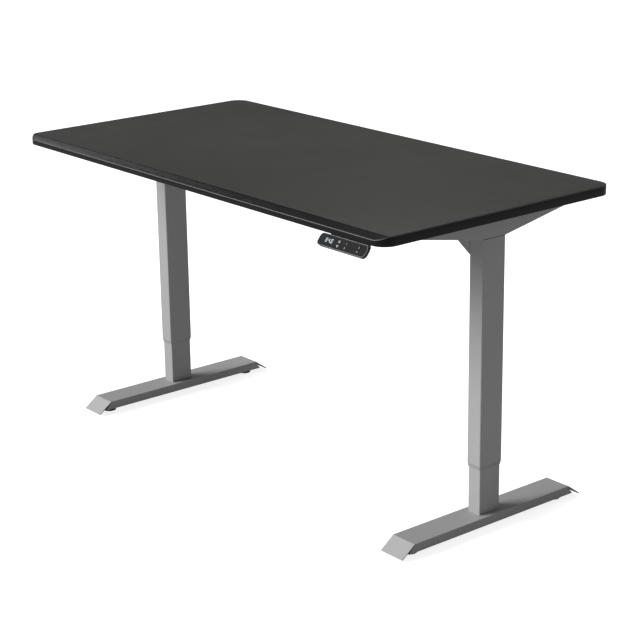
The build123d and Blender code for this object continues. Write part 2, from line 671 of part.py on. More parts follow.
# ---- Handset ----
def handset_plane():
    """The plane of the handset's face, tilted so that its lower edge stands forward."""
    face_height = (HANDSET_REACH ** 2 + HANDSET_DROP ** 2) ** 0.5
    normal = (0, -HANDSET_DROP / face_height, HANDSET_REACH / face_height)
    middle = (handset_x, top_front - HANDSET_REACH / 2, underside - HANDSET_GAP - HANDSET_DROP / 2)
    return Plane(origin=middle, x_dir=(1, 0, 0), z_dir=normal), face_height


def handset_slab(margin, front, thickness, corner):
    """A rounded slab parallel to the handset's face, its front that far behind the face."""
    plane, face_height = handset_plane()
    outline = RectangleRounded(HANDSET_WIDTH - 2 * margin, face_height - 2 * margin, corner)
    return extrude(plane.offset(-front) * outline, amount=-thickness)


def handset_pocket_floor():
    return PANEL_THICKNESS + DISPLAY_THICKNESS + BOARD_THICKNESS


def handset_housing():
    housing = handset_slab(0, 0, HANDSET_THICKNESS, HANDSET_CORNER)
    neck_y = top_front + NECK_SETBACK + NECK_DEPTH / 2
    housing += block(NECK_WIDTH, NECK_DEPTH, NECK_HEIGHT, handset_x, neck_y, underside - NECK_HEIGHT)
    flange_y = top_front + NECK_SETBACK + NECK_DEPTH + NECK_FLANGE_DEPTH / 2
    flange_z = underside - NECK_FLANGE_THICKNESS
    housing += block(NECK_WIDTH, NECK_FLANGE_DEPTH, NECK_FLANGE_THICKNESS, handset_x, flange_y, flange_z)
    housing -= handset_slab(PANEL_MARGIN, 0, PANEL_THICKNESS, HANDSET_CORNER - PANEL_MARGIN)
    depth = handset_pocket_floor()
    housing -= handset_slab(POCKET_MARGIN, 0, depth, HANDSET_CORNER - POCKET_MARGIN)
    for x, y in handset_screw_places():
        housing -= upright(WOOD_SCREW_RADIUS + SCREW_CLEARANCE, NECK_FLANGE_THICKNESS, x, y, flange_z)
    socket_y = top_front + NECK_SETBACK + NECK_DEPTH - SOCKET_DEPTH / 2
    socket_z = underside - NECK_HEIGHT + BOX_WALL
    housing -= block(SOCKET_X, SOCKET_DEPTH, SOCKET_Z, handset_x, socket_y, socket_z)
    return housing


def handset_panel():
    return handset_slab(PANEL_MARGIN + SEAT, 0, PANEL_THICKNESS, HANDSET_CORNER - PANEL_MARGIN)


def handset_board():
    front = PANEL_THICKNESS + DISPLAY_THICKNESS
    return handset_slab(POCKET_MARGIN + SEAT, front, BOARD_THICKNESS, HANDSET_CORNER - POCKET_MARGIN)


def handset_display():
    plane = handset_plane()[0]
    outline = Pos(-DISPLAY_OFFSET, 0, 0) * Rectangle(DISPLAY_X, DISPLAY_Y)
    return extrude(plane.offset(-PANEL_THICKNESS) * outline, amount=-DISPLAY_THICKNESS)


# ---- Control box ----
def control_box_case():
    """The open-topped lower shell, with mouths for its sockets."""
    y = leg_y + BOX_SETBACK + BOX_Y / 2
    bottom = underside - BOX_LID - BOX_HEIGHT
    case = rounded_block(BOX_X, BOX_Y, BOX_HEIGHT, BOX_CORNER, 0, y, bottom)
    inner_x = BOX_X - 2 * BOX_WALL
    inner_y = BOX_Y - 2 * BOX_WALL
    case -= rounded_block(inner_x, inner_y, BOX_HEIGHT, BOX_CORNER - BOX_WALL, 0, y, bottom + BOX_WALL)
    front = y - BOX_Y / 2 + BOX_WALL / 2
    for x in socket_xs():
        case -= block(SOCKET_X, BOX_WALL, SOCKET_Z, x, front, bottom + SOCKET_FLOOR)
    back = y + BOX_Y / 2 - BOX_WALL / 2
    case -= block(INLET_X, BOX_WALL, INLET_Z, INLET_OFFSET, back, bottom + SOCKET_FLOOR)
    for post_x, post_y in board_post_places():
        case += upright(BOX_BOARD_LIFT - BOX_WALL / 2, BOX_BOARD_LIFT, post_x, post_y, bottom + BOX_WALL)
    return case


def board_post_places():
    y = leg_y + BOX_SETBACK + BOX_Y / 2
    return [(step * BOARD_POST_X, y + along * BOX_Y / 4) for step in (-1, 1) for along in (-1, 1)]


def socket_xs():
    return [-BOX_X / 4 + step * SOCKET_SPACING for step in (-1, 0, 1)]


def control_box_lid():
    y = leg_y + BOX_SETBACK + BOX_Y / 2
    lid = rounded_block(BOX_X + 2 * BOX_EAR, BOX_Y, BOX_LID, BOX_CORNER, 0, y, underside - BOX_LID)
    for screw_x, screw_y in box_screw_places():
        lid -= upright(WOOD_SCREW_RADIUS + SCREW_CLEARANCE, BOX_LID, screw_x, screw_y, underside - BOX_LID)
    return lid


def control_board():
    y = leg_y + BOX_SETBACK + BOX_Y / 2
    bottom = underside - BOX_LID - BOX_HEIGHT + BOX_WALL + BOX_BOARD_LIFT
    depth = BOX_Y - 2 * BOX_WALL - 2 * INLET_DEPTH - 2 * SLIDE_CLEARANCE
    return block(BOX_X - 4 * BOX_WALL, depth, BOARD_THICKNESS, 0, y, bottom)


def power_inlet():
    """The two-pin mains inlet in the back wall of the control box."""
    back = leg_y + BOX_SETBACK + BOX_Y
    bottom = underside - BOX_LID - BOX_HEIGHT + SOCKET_FLOOR
    inlet = block(INLET_X, INLET_DEPTH, INLET_Z, INLET_OFFSET, back - INLET_DEPTH / 2, bottom)
    wall = BOX_WALL
    hollow_depth = INLET_DEPTH - wall
    hollow_y = back - hollow_depth / 2
    hollow_z = INLET_Z - 2 * wall
    inlet -= block(INLET_X - 2 * wall, hollow_depth, hollow_z, INLET_OFFSET, hollow_y, bottom + wall)
    for step in (-1, 1):
        pin_x = INLET_OFFSET + step * INLET_PIN_X
        inlet += rod_y(PIN_RADIUS, back - INLET_DEPTH + wall, back - wall, pin_x, bottom + INLET_Z / 2)
    return inlet


def motor_sockets():
    """The sockets in the front wall of the control box: two motors and the handset."""
    sockets = []
    front = leg_y + BOX_SETBACK
    bottom = underside - BOX_LID - BOX_HEIGHT + SOCKET_FLOOR
    wall = BOX_WALL
    hollow = SOCKET_DEPTH - wall
    for x in socket_xs():
        socket = block(SOCKET_X, SOCKET_DEPTH, SOCKET_Z, x, front + SOCKET_DEPTH / 2, bottom)
        hollow_y = front + hollow / 2
        socket -= block(SOCKET_X - 2 * wall, hollow, SOCKET_Z - 2 * wall, x, hollow_y, bottom + wall)
        sockets.append(socket)
    return sockets


# ---- Fasteners ----
def wood_screw(x, y, head_top_z):
    screw = upright(WOOD_SCREW_HEAD_RADIUS, WOOD_SCREW_HEAD_HEIGHT, x, y, head_top_z - WOOD_SCREW_HEAD_HEIGHT)
    screw = fillet(screw.edges().group_by(Axis.Z)[0], WOOD_SCREW_HEAD_HEIGHT / 2)
    length = underside + WOOD_SCREW_DEPTH - PILOT_SPARE - head_top_z
    return screw + upright(WOOD_SCREW_RADIUS, length, x, y, head_top_z)


def m6_screw(length, x, y, head_top_z):
    """A screw pointing up, its head under the level given."""
    screw = upright(M6_HEAD_RADIUS, M6_HEAD_HEIGHT, x, y, head_top_z - M6_HEAD_HEIGHT)
    return screw + upright(M6_RADIUS, length, x, y, head_top_z)


def tabletop_screws():
    return [wood_screw(x, y, flange_bottom) for x, y in bracket_screw_places()]


def handset_screws():
    return [wood_screw(x, y, underside - NECK_FLANGE_THICKNESS) for x, y in handset_screw_places()]


def control_box_screws():
    return [wood_screw(x, y, underside - BOX_LID) for x, y in box_screw_places()]


def bracket_screws():
    places = head_screw_places(-1) + head_screw_places(1)
    return [m6_screw(2 * SHEET, x, y, head_bottom) for x, y in places]


def foot_bolts():
    places = foot_bolt_places(-1) + foot_bolt_places(1)
    length = FOOT_RAIL_WALL + FOOT_PLATE + BASE_PLATE_THICKNESS
    return [m6_screw(length, x, y, foot_web_bottom) for x, y in places]


def crossbar_screws():
    """Screws through the leg heads' cheeks into the crossbar rails, front and back."""
    screws = []
    z = rail_top - RAIL_HEIGHT / 2
    for side in SIDES.values():
        for end in ENDS.values():
            face = leg_y + end * OUTER_Y / 2
            for x in rail_screw_xs(side):
                head = rod_y(M6_HEAD_RADIUS, face, face + end * M6_HEAD_HEIGHT, x, z)
                screws.append(head + rod_y(M6_RADIUS, face, face - end * 2 * (SHEET + RAIL_SHEET), x, z))
    return screws


def gearbox_screws():
    """Flat-headed screws through the leg heads' webs into the gearboxes."""
    screws = []
    shank = M5_LENGTH - SHEET - SLIDE_CLEARANCE
    for side in SIDES.values():
        for x, y in gearbox_screw_places(side):
            screw = countersink(M5_RADIUS, M5_HEAD_RADIUS, x, y)
            screws.append(screw + upright(M5_RADIUS, shank, x, y, head_bottom - shank))
    return screws


# ---- The desk ----
def build_desk():
    parts = {
        "tabletop": tabletop(),
        "crossbar_front_rail": crossbar_rail(-1),
        "crossbar_rear_rail": crossbar_rail(1),
        "spindle_bearings": spindle_bearings(),
        "glide_nuts": glide_nuts(),
        "handset_housing": handset_housing(),
        "handset_panel": handset_panel(),
        "handset_board": handset_board(),
        "handset_display": handset_display(),
        "control_box_case": control_box_case(),
        "control_box_lid": control_box_lid(),
        "control_board": control_board(),
        "power_inlet": power_inlet(),
        "motor_sockets": motor_sockets(),
        "tabletop_screws": tabletop_screws(),
        "handset_screws": handset_screws(),
        "control_box_screws": control_box_screws(),
        "bracket_screws": bracket_screws(),
        "crossbar_screws": crossbar_screws(),
        "gearbox_screws": gearbox_screws(),
        "foot_bolts": foot_bolts(),
    }
    pairs = {
        "side_bracket": side_bracket,
        "leg_head": leg_head,
        "outer_tube": outer_tube,
        "leg_collar": leg_collar,
        "inner_tube": inner_tube,
        "guide_sleeve": guide_sleeve,
        "leg_base_plate": leg_base_plate,
        "nut_carrier": nut_carrier,
        "lift_nut": lift_nut,
        "spindle": spindle,
        "worm_wheel": worm_wheel,
        "gearbox_housing": gearbox_housing,
        "gearbox_cover": gearbox_cover,
        "motor_case": motor_case,
        "motor_rotor": motor_rotor,
        "foot_cover": foot_cover,
        "foot_rail": foot_rail,
    }
    for word, side in SIDES.items():
        for name, make in pairs.items():
            parts[f"{name}_{word}"] = make(side)
        for end_word, end in ENDS.items():
            parts[f"glide_{end_word}_{word}"] = glide(side, end)
    return parts


os.makedirs("parts", exist_ok=True)
for node, shape in build_desk().items():
    solids = shape if isinstance(shape, list) else [shape]
    export_step(Compound(children=solids) if len(solids) > 1 else solids[0], f"parts/{node}.step")
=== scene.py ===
import random
from math import cos, pi, radians, sin, tau

import bmesh
import bpy
from mathutils import Matrix, Vector


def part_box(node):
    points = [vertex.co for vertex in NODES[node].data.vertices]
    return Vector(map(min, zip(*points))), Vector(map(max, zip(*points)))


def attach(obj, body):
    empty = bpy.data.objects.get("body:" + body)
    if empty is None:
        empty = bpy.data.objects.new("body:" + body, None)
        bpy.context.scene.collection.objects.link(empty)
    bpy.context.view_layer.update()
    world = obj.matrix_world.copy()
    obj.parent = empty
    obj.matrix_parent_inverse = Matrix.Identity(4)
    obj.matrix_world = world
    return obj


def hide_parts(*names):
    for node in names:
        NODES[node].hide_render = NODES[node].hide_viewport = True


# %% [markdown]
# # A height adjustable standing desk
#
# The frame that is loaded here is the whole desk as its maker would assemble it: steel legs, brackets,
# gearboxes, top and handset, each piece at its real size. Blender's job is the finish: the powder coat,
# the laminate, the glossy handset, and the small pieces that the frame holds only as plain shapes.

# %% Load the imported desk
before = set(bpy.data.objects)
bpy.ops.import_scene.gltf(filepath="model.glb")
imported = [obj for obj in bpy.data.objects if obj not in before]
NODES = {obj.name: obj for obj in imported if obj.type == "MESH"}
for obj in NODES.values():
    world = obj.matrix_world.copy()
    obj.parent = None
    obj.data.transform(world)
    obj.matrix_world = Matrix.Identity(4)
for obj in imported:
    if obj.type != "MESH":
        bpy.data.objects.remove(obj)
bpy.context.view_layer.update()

SIDES = ("left", "right")
ENDS = ("front", "rear")

# %% [markdown]
# ## Places on the desk
#
# Everything that follows is placed from the frame's own pieces, so a change of size in the frame moves it
# too. A few places are used again and again: the top, the handset, the feet and the legs.

# %% Places on the desk
TOP_LOW, TOP_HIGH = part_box("tabletop")
UNDERSIDE = TOP_LOW.z
LEG_LOW, LEG_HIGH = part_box("outer_tube_right")
LEG_Y = (LEG_LOW.y + LEG_HIGH.y) / 2
print("tabletop", [round(value, 3) for value in TOP_HIGH - TOP_LOW], "m, legs at y", round(LEG_Y, 3))

# %% [markdown]
# ## Camera
#
# The desk is seen from its front right corner, from a little above the top, with a long lens, so that its
# edges stay nearly parallel. The camera is placed by what it aims at, the direction it looks in and its
# distance, because those are easier to picture than a point in space.

# %% Camera
CAMERA_AIM = Vector((0.0, 0.0709, 0.3805))
CAMERA_AZIMUTH = radians(50.525)
CAMERA_ELEVATION = radians(17.81)
CAMERA_ROLL = radians(-0.783)
CAMERA_DISTANCE = 5.039
CAMERA_LENS = 102.78
CAMERA_FAR = 200.0


def place_camera():
    """A camera that looks along an azimuth and elevation at its aim."""
    level = cos(CAMERA_ELEVATION)
    ahead = Vector((-sin(CAMERA_AZIMUTH) * level, cos(CAMERA_AZIMUTH) * level, -sin(CAMERA_ELEVATION)))
    right = Vector((cos(CAMERA_AZIMUTH), sin(CAMERA_AZIMUTH), 0.0))
    up = right.cross(ahead)
    right_rolled = right * cos(CAMERA_ROLL) + up * sin(CAMERA_ROLL)
    up_rolled = up * cos(CAMERA_ROLL) - right * sin(CAMERA_ROLL)
    turn = Matrix((right_rolled, up_rolled, -ahead)).transposed().to_4x4()
    camera_data = bpy.data.cameras.new("desk_camera")
    camera_data.lens = CAMERA_LENS
    camera_data.clip_end = CAMERA_FAR
    camera = bpy.data.objects.new("desk_camera", camera_data)
    bpy.context.scene.collection.objects.link(camera)
    camera.matrix_world = Matrix.Translation(CAMERA_AIM - ahead * CAMERA_DISTANCE) @ turn
    bpy.context.scene.camera = camera
    return camera


print("camera at", [round(value, 3) for value in place_camera().matrix_world.translation])

# %% [markdown]
# ## Light and floor
#
# Furniture is often pictured on a pale light table: a glowing white ground and one broad soft light high
# at the front left. That light makes the front faces of the legs bright and leaves their outer sides dark,
# which is what shows their square section. A soft box overhead lifts the top's sheen, and a small one at
# the left end puts a highlight on the front bevel. The ground glows more to the camera than to the desk,
# by a Light Path node: it looks white and yet the undersides stay dark.

# %% Light and floor
FLOOR_SIZE = 120.0
FLOOR_ROUGHNESS = 0.9
FLOOR_TONE = 0.42
FLOOR_GLOW = 0.10
FLOOR_SEEN_GLOW = 0.84
SURROUND = 0.26
SUN_FROM = Vector((-0.52, -0.86, 0.60))
SUN_POWER = 5.0
SUN_SPREAD = radians(38)
OVERHEAD_PLACE = (0.25, 0.35, 2.5)
OVERHEAD_SIZE = 1.1
OVERHEAD_POWER = 32.0
SIDE_PLACE = (-2.25, -0.62, 1.85)
SIDE_AIM = (-0.70, -0.37, 0.84)
SIDE_SIZE = 0.5
SIDE_POWER = 6.0


def soft_sun():
    """One broad light from the front left, as even as daylight through a large screen."""
    light_data = bpy.data.lights.new("key_light", "SUN")
    light_data.energy = SUN_POWER
    light_data.angle = SUN_SPREAD
    light = bpy.data.objects.new("key_light", light_data)
    bpy.context.scene.collection.objects.link(light)
    light.matrix_world = SUN_FROM.to_track_quat("Z", "Y").to_matrix().to_4x4()
    return light


def soft_box(name, place, aim, size, power):
    """A square soft light that faces its aim."""
    light_data = bpy.data.lights.new(name, "AREA")
    light_data.shape = "SQUARE"
    light_data.size = size
    light_data.energy = power
    light = bpy.data.objects.new(name, light_data)
    bpy.context.scene.collection.objects.link(light)
    facing = (Vector(aim) - Vector(place)).to_track_quat("-Z", "Y")
    light.matrix_world = Matrix.Translation(place) @ facing.to_matrix().to_4x4()
    return light


def light_table():
    """A wide pale floor that glows a little. It isn't part of the desk."""
    bpy.ops.mesh.primitive_plane_add(size=FLOOR_SIZE, location=(0, 0, 0))
    floor = bpy.context.object
    floor.name = "floor"
    ground = bpy.data.materials.new("light_table")
    ground.use_nodes = True
    shader = ground.node_tree.nodes["Principled BSDF"]
    shader.inputs["Base Color"].default_value = (FLOOR_TONE, FLOOR_TONE, FLOOR_TONE, 1)
    shader.inputs["Roughness"].default_value = FLOOR_ROUGHNESS
    shader.inputs["Specular IOR Level"].default_value = 0.0
    shader.inputs["Emission Color"].default_value = (1, 1, 1, 1)
    tree = ground.node_tree
    seen = tree.nodes.new("ShaderNodeLightPath").outputs["Is Camera Ray"]
    extra = tree.nodes.new("ShaderNodeMath")
    extra.operation = "MULTIPLY_ADD"
    tree.links.new(seen, extra.inputs[0])
    extra.inputs[1].default_value = FLOOR_SEEN_GLOW - FLOOR_GLOW
    extra.inputs[2].default_value = FLOOR_GLOW
    tree.links.new(extra.outputs[0], shader.inputs["Emission Strength"])
    floor.data.materials.append(ground)
    return floor


def studio_surround():
    """An even, dim surround."""
    world = bpy.data.worlds.new("studio")
    world.use_nodes = True
    background = world.node_tree.nodes["Background"]
    background.inputs["Color"].default_value = (1, 1, 1, 1)
    background.inputs["Strength"].default_value = SURROUND
    bpy.context.scene.world = world


bpy.ops.object.select_all(action="DESELECT")
light_table()
studio_surround()
soft_sun()
soft_box("overhead_light", OVERHEAD_PLACE, (OVERHEAD_PLACE[0], OVERHEAD_PLACE[1], 0), OVERHEAD_SIZE,
         OVERHEAD_POWER)
soft_box("side_light", SIDE_PLACE, SIDE_AIM, SIDE_SIZE, SIDE_POWER)
bpy.context.scene.view_settings.view_transform = "Standard"
bpy.context.scene.view_settings.look = "None"
print("floor, surround and", len(bpy.data.lights), "lights are in place")

# %% [markdown]
# ## Shader tools
#
# Several finishes share the same effects: slow changes of tone over a panel, the fine relief of a coated
# surface, embossed pebbles, specks, and edges that catch the light where the coat is thin. Each effect is
# a node group with named inputs, built once and then given its own values wherever it is used.

# %% Shader tools
GRAIN_FINENESS = 3.7
PEBBLE_SOFTNESS = 0.6
EDGE_GAIN = 4.0
EDGE_SAMPLES = 4
FLECK_SCALE = 260.0


def new_group(name, inputs, outputs):
    """An empty shader group with float inputs and outputs, and its two end nodes."""
    group = bpy.data.node_groups.new(name, "ShaderNodeTree")
    for socket, value in inputs.items():
        made = group.interface.new_socket(socket, in_out="INPUT", socket_type="NodeSocketFloat")
        made.default_value = value
    for socket in outputs:
        group.interface.new_socket(socket, in_out="OUTPUT", socket_type="NodeSocketFloat")
    return group, group.nodes.new("NodeGroupInput"), group.nodes.new("NodeGroupOutput")


def feed(tree, socket, value):
    """Gives a socket a number or links another socket to it."""
    if isinstance(value, (int, float)):
        socket.default_value = value
    else:
        tree.links.new(value, socket)


def maths(tree, operation, first, second=None):
    """A Math node fed by sockets or numbers, and its output."""
    node = tree.nodes.new("ShaderNodeMath")
    node.operation = operation
    feed(tree, node.inputs[0], first)
    if second is not None:
        feed(tree, node.inputs[1], second)
    return node.outputs[0]


def noise(tree, place, scale, detail=2.0, roughness=0.5):
    """A Noise Texture's value."""
    node = tree.nodes.new("ShaderNodeTexNoise")
    node.inputs["Detail"].default_value = detail
    node.inputs["Roughness"].default_value = roughness
    feed(tree, node.inputs["Scale"], scale)
    tree.links.new(place, node.inputs["Vector"])
    return node.outputs["Fac"]


def object_place(tree, stretch=None):
    """Object coordinates, stretched when a pattern runs along one axis."""
    place = tree.nodes.new("ShaderNodeTexCoord").outputs["Object"]
    if stretch is None:
        return place
    mapping = tree.nodes.new("ShaderNodeMapping")
    mapping.inputs["Scale"].default_value = stretch
    tree.links.new(place, mapping.inputs["Vector"])
    return mapping.outputs["Vector"]


def slow_variation_group():
    """Broad, soft patches around zero: what handling and uneven coating leave."""
    group, inside, outside = new_group("slow_variation", {"Scale": 3.0, "Strength": 0.1}, ["Value"])
    patches = noise(group, object_place(group), inside.outputs["Scale"], 3.0, 0.55)
    centred = maths(group, "SUBTRACT", patches, 0.5)
    feed(group, outside.inputs["Value"], maths(group, "MULTIPLY", centred, inside.outputs["Strength"]))
    return group


def fine_relief_group():
    """The height of a coated surface: an orange-peel ripple and a finer grain on it."""
    group, inside, outside = new_group("fine_relief", {"Scale": 900.0, "Grain": 0.4}, ["Height"])
    place = object_place(group)
    ripple = noise(group, place, inside.outputs["Scale"], 2.0, 0.5)
    finer = maths(group, "MULTIPLY", inside.outputs["Scale"], GRAIN_FINENESS)
    grain = maths(group, "MULTIPLY", noise(group, place, finer, 1.0, 0.5), inside.outputs["Grain"])
    feed(group, outside.inputs["Height"], maths(group, "ADD", ripple, grain))
    return group


def pebble_group():
    """The height of an embossed sheet: small rounded cells pressed side by side."""
    group, inside, outside = new_group("pebble", {"Scale": 900.0}, ["Height"])
    cells = group.nodes.new("ShaderNodeTexVoronoi")
    cells.feature = "SMOOTH_F1"
    cells.inputs["Smoothness"].default_value = PEBBLE_SOFTNESS
    feed(group, cells.inputs["Scale"], inside.outputs["Scale"])
    group.links.new(object_place(group), cells.inputs["Vector"])
    feed(group, outside.inputs["Height"], maths(group, "SUBTRACT", 1.0, cells.outputs["Distance"]))
    return group


def speck_group():
    """Small specks around zero, one value to a cell: metal flakes, dust and moulding grain."""
    group, inside, outside = new_group("speck", {"Scale": 1500.0, "Strength": 0.1}, ["Value"])
    cells = group.nodes.new("ShaderNodeTexVoronoi")
    feed(group, cells.inputs["Scale"], inside.outputs["Scale"])
    group.links.new(object_place(group), cells.inputs["Vector"])
    split = group.nodes.new("ShaderNodeSeparateColor")
    group.links.new(cells.outputs["Color"], split.inputs["Color"])
    centred = maths(group, "SUBTRACT", split.outputs["Red"], 0.5)
    feed(group, outside.inputs["Value"], maths(group, "MULTIPLY", centred, inside.outputs["Strength"]))
    return group


def edge_mask_group():
    """One on outer edges and zero on flat faces, broken up by noise."""
    group, inside, outside = new_group("edge_mask", {"Radius": 0.001, "Break Up": 0.5}, ["Mask"])
    rounded = group.nodes.new("ShaderNodeBevel")
    rounded.samples = EDGE_SAMPLES
    feed(group, rounded.inputs["Radius"], inside.outputs["Radius"])
    flat = group.nodes.new("ShaderNodeNewGeometry")
    product = group.nodes.new("ShaderNodeVectorMath")
    product.operation = "DOT_PRODUCT"
    group.links.new(rounded.outputs["Normal"], product.inputs[0])
    group.links.new(flat.outputs["Normal"], product.inputs[1])
    turned = maths(group, "SUBTRACT", 1.0, product.outputs["Value"])
    strong = maths(group, "MULTIPLY", turned, EDGE_GAIN)
    flecks = noise(group, object_place(group), FLECK_SCALE, 3.0, 0.6)
    broken = maths(group, "SUBTRACT", strong, maths(group, "MULTIPLY", flecks, inside.outputs["Break Up"]))
    clamp = group.nodes.new("ShaderNodeClamp")
    group.links.new(broken, clamp.inputs["Value"])
    group.links.new(clamp.outputs["Result"], outside.inputs["Mask"])
    return group


SLOW_VARIATION = slow_variation_group()
FINE_RELIEF = fine_relief_group()
PEBBLE = pebble_group()
SPECK = speck_group()
EDGE_MASK = edge_mask_group()
print("shader groups:", [group.name for group in bpy.data.node_groups])

# %% [markdown]
# ## A finish from a few numbers
#
# Many of the desk's finishes differ only in tone, gloss, the size of their relief and how their edges
# show. So one function builds a finish from those values, and each real material then has its own short
# cell. Values that stay the same all over go straight on the shader's own sockets.

# %% Finish builder
PATCH_STRENGTH = 2.4
EDGE_BREAK_UP = 0.5
HANDLING_FINENESS = 7
RELIEF_GRAIN = 0.4
LINE_SHINE = 0.3
COAT_ROUGHNESS = 0.12


def effect(tree, group, **values):
    """A group placed in a material with its own values."""
    node = tree.nodes.new("ShaderNodeGroup")
    node.node_tree = group
    for name, value in values.items():
        feed(tree, node.inputs[name.replace("_", " ")], value)
    return node.outputs[0]


def blend_colors(tree, amount, first, second):
    """A Mix node for colours, fed by sockets or by plain colours."""
    node = tree.nodes.new("ShaderNodeMix")
    node.data_type = "RGBA"
    feed(tree, node.inputs[0], amount)
    for socket, value in ((node.inputs[6], first), (node.inputs[7], second)):
        if isinstance(value, tuple):
            socket.default_value = (*value, 1.0)
        else:
            tree.links.new(value, socket)
    return node.outputs[2]


def scaled(tone, factor):
    """A tone made lighter or darker."""
    return tuple(min(1.0, channel * factor) for channel in tone)


def finish(name, tone, edge_tone, roughness, metallic=0.0, coat=0.0, variation=0.10, patch=4.0, specks=0.0,
           speck_scale=1500.0, relief=900.0, depth=0.00002, edge_radius=0.0008, rough_variation=0.12,
           pebble=0.0, stretch=None):
    """A coated, moulded or bare finish: patches and specks of tone, fine relief and edges that show."""
    material = bpy.data.materials.new(name)
    material.use_nodes = True
    tree = material.node_tree
    shader = tree.nodes["Principled BSDF"]
    patches = effect(tree, SLOW_VARIATION, Scale=patch, Strength=PATCH_STRENGTH)
    grain = effect(tree, SPECK, Scale=speck_scale, Strength=specks)
    amount = maths(tree, "ADD", maths(tree, "ADD", patches, grain), 0.5)
    body = blend_colors(tree, amount, scaled(tone, 1 - variation), scaled(tone, 1 + variation))
    edges = effect(tree, EDGE_MASK, Radius=edge_radius, Break_Up=EDGE_BREAK_UP)
    tree.links.new(blend_colors(tree, edges, body, edge_tone), shader.inputs["Base Color"])
    handling = effect(tree, SLOW_VARIATION, Scale=patch * HANDLING_FINENESS, Strength=rough_variation * 2)
    if stretch is None:
        shine = handling
        height = effect(tree, FINE_RELIEF, Scale=relief, Grain=RELIEF_GRAIN)
    else:
        lines = noise(tree, object_place(tree, stretch), 1.0, 3.0, 0.6)
        line_shine = maths(tree, "MULTIPLY", maths(tree, "SUBTRACT", lines, 0.5), LINE_SHINE)
        shine = maths(tree, "ADD", handling, line_shine)
        height = lines
    tree.links.new(maths(tree, "ADD", shine, roughness), shader.inputs["Roughness"])
    if pebble:
        height = maths(tree, "ADD", height, effect(tree, PEBBLE, Scale=pebble))
    bump = tree.nodes.new("ShaderNodeBump")
    bump.inputs["Distance"].default_value = depth
    tree.links.new(height, bump.inputs["Height"])
    tree.links.new(bump.outputs["Normal"], shader.inputs["Normal"])
    shader.inputs["Metallic"].default_value = metallic
    shader.inputs["Coat Weight"].default_value = coat
    shader.inputs["Coat Roughness"].default_value = COAT_ROUGHNESS
    return material


def give(material, *names):
    """Puts a finish on CAD pieces."""
    for name in names:
        NODES[name].material_slots[0].material = material


def both(name):
    """The names of a piece's left and right copies."""
    return [f"{name}_{side}" for side in SIDES]


# %% [markdown]
# ## Silver powder coat
#
# The legs, feet, brackets and rails are sheet steel under a satin silver-grey powder coat. The powder
# melts into a faint orange-peel ripple with fine metallic specks, and it draws thin at the folded edges,
# which read a little lighter. A noise for the ripple and one value to a cell for the specks give both.

# %% Silver powder coat
SILVER_TONE = (0.262, 0.262, 0.262)
SILVER_EDGE = (0.36, 0.36, 0.36)
silver = finish("silver_powder_coat", SILVER_TONE, SILVER_EDGE, 0.47, variation=0.05, patch=2.5, specks=1.1,
                speck_scale=1900.0, relief=620.0, depth=0.00005, edge_radius=0.0012, rough_variation=0.08)
painted = ["crossbar_front_rail", "crossbar_rear_rail"]
for part_name in ("side_bracket", "leg_head", "outer_tube", "inner_tube", "foot_cover", "foot_rail"):
    painted += both(part_name)
give(silver, *painted)
print("powder coat on", len(painted), "pieces")

# %% [markdown]
# ## Silver plastic
#
# The collar at the foot of each outer tube is moulded in a plastic that is coloured to match the coat. It
# is a little flatter and smoother, with the faint grain of a mould and no metallic specks.

# %% Silver plastic
collar_plastic = finish("silver_collar_plastic", (0.235, 0.235, 0.235), (0.30, 0.30, 0.30), 0.55,
                        variation=0.05, patch=9.0, relief=1500.0, depth=0.00003, edge_radius=0.0006)
give(collar_plastic, *both("leg_collar"))
print("silver plastic on", both("leg_collar"))

# %% [markdown]
# ## Black laminate
#
# The top is particle board wrapped in a matte black sheet. The sheet is embossed with small pebbles, which
# spread a highlight into a soft sheen, and its shine changes a little where hands and cloths have wiped
# it. The pebble group gives the emboss as real cells, not noise. The bevel and the sides are painted darker,
# a painted shade, and made smoother. Along the rounded arrises, where the surface tilts halfway to upright,
# a thin painted highlight line is drawn. Both follow the tilt of the surface, so they find their own place
# on any board with the same arrises.

# %% Black laminate
LAMINATE_TONE = (0.0172, 0.0172, 0.0162)
LAMINATE_EDGE = (0.060, 0.060, 0.058)
LAMINATE_SPECULAR = 0.17
# painted shade: the bevel and the sides, tilted away from level, are made darker than the flat sheet
SHADED_BAND_TONE = (0.0030, 0.0030, 0.0030)
BAND_REACH = 8.0       # how soon a tilt away from level turns sheet into band
BAND_POLISH = 0.16     # how much smoother the band is
# painted highlight: a thin light line on the rounded arrises, found by the surface's tilt
HIGHLIGHT_LINE_TONE = (0.16, 0.16, 0.157)
HIGHLIGHT_LINE_TILT = 0.33       # the normal's z where the painted highlight line is strongest
HIGHLIGHT_LINE_SPREAD = 0.22


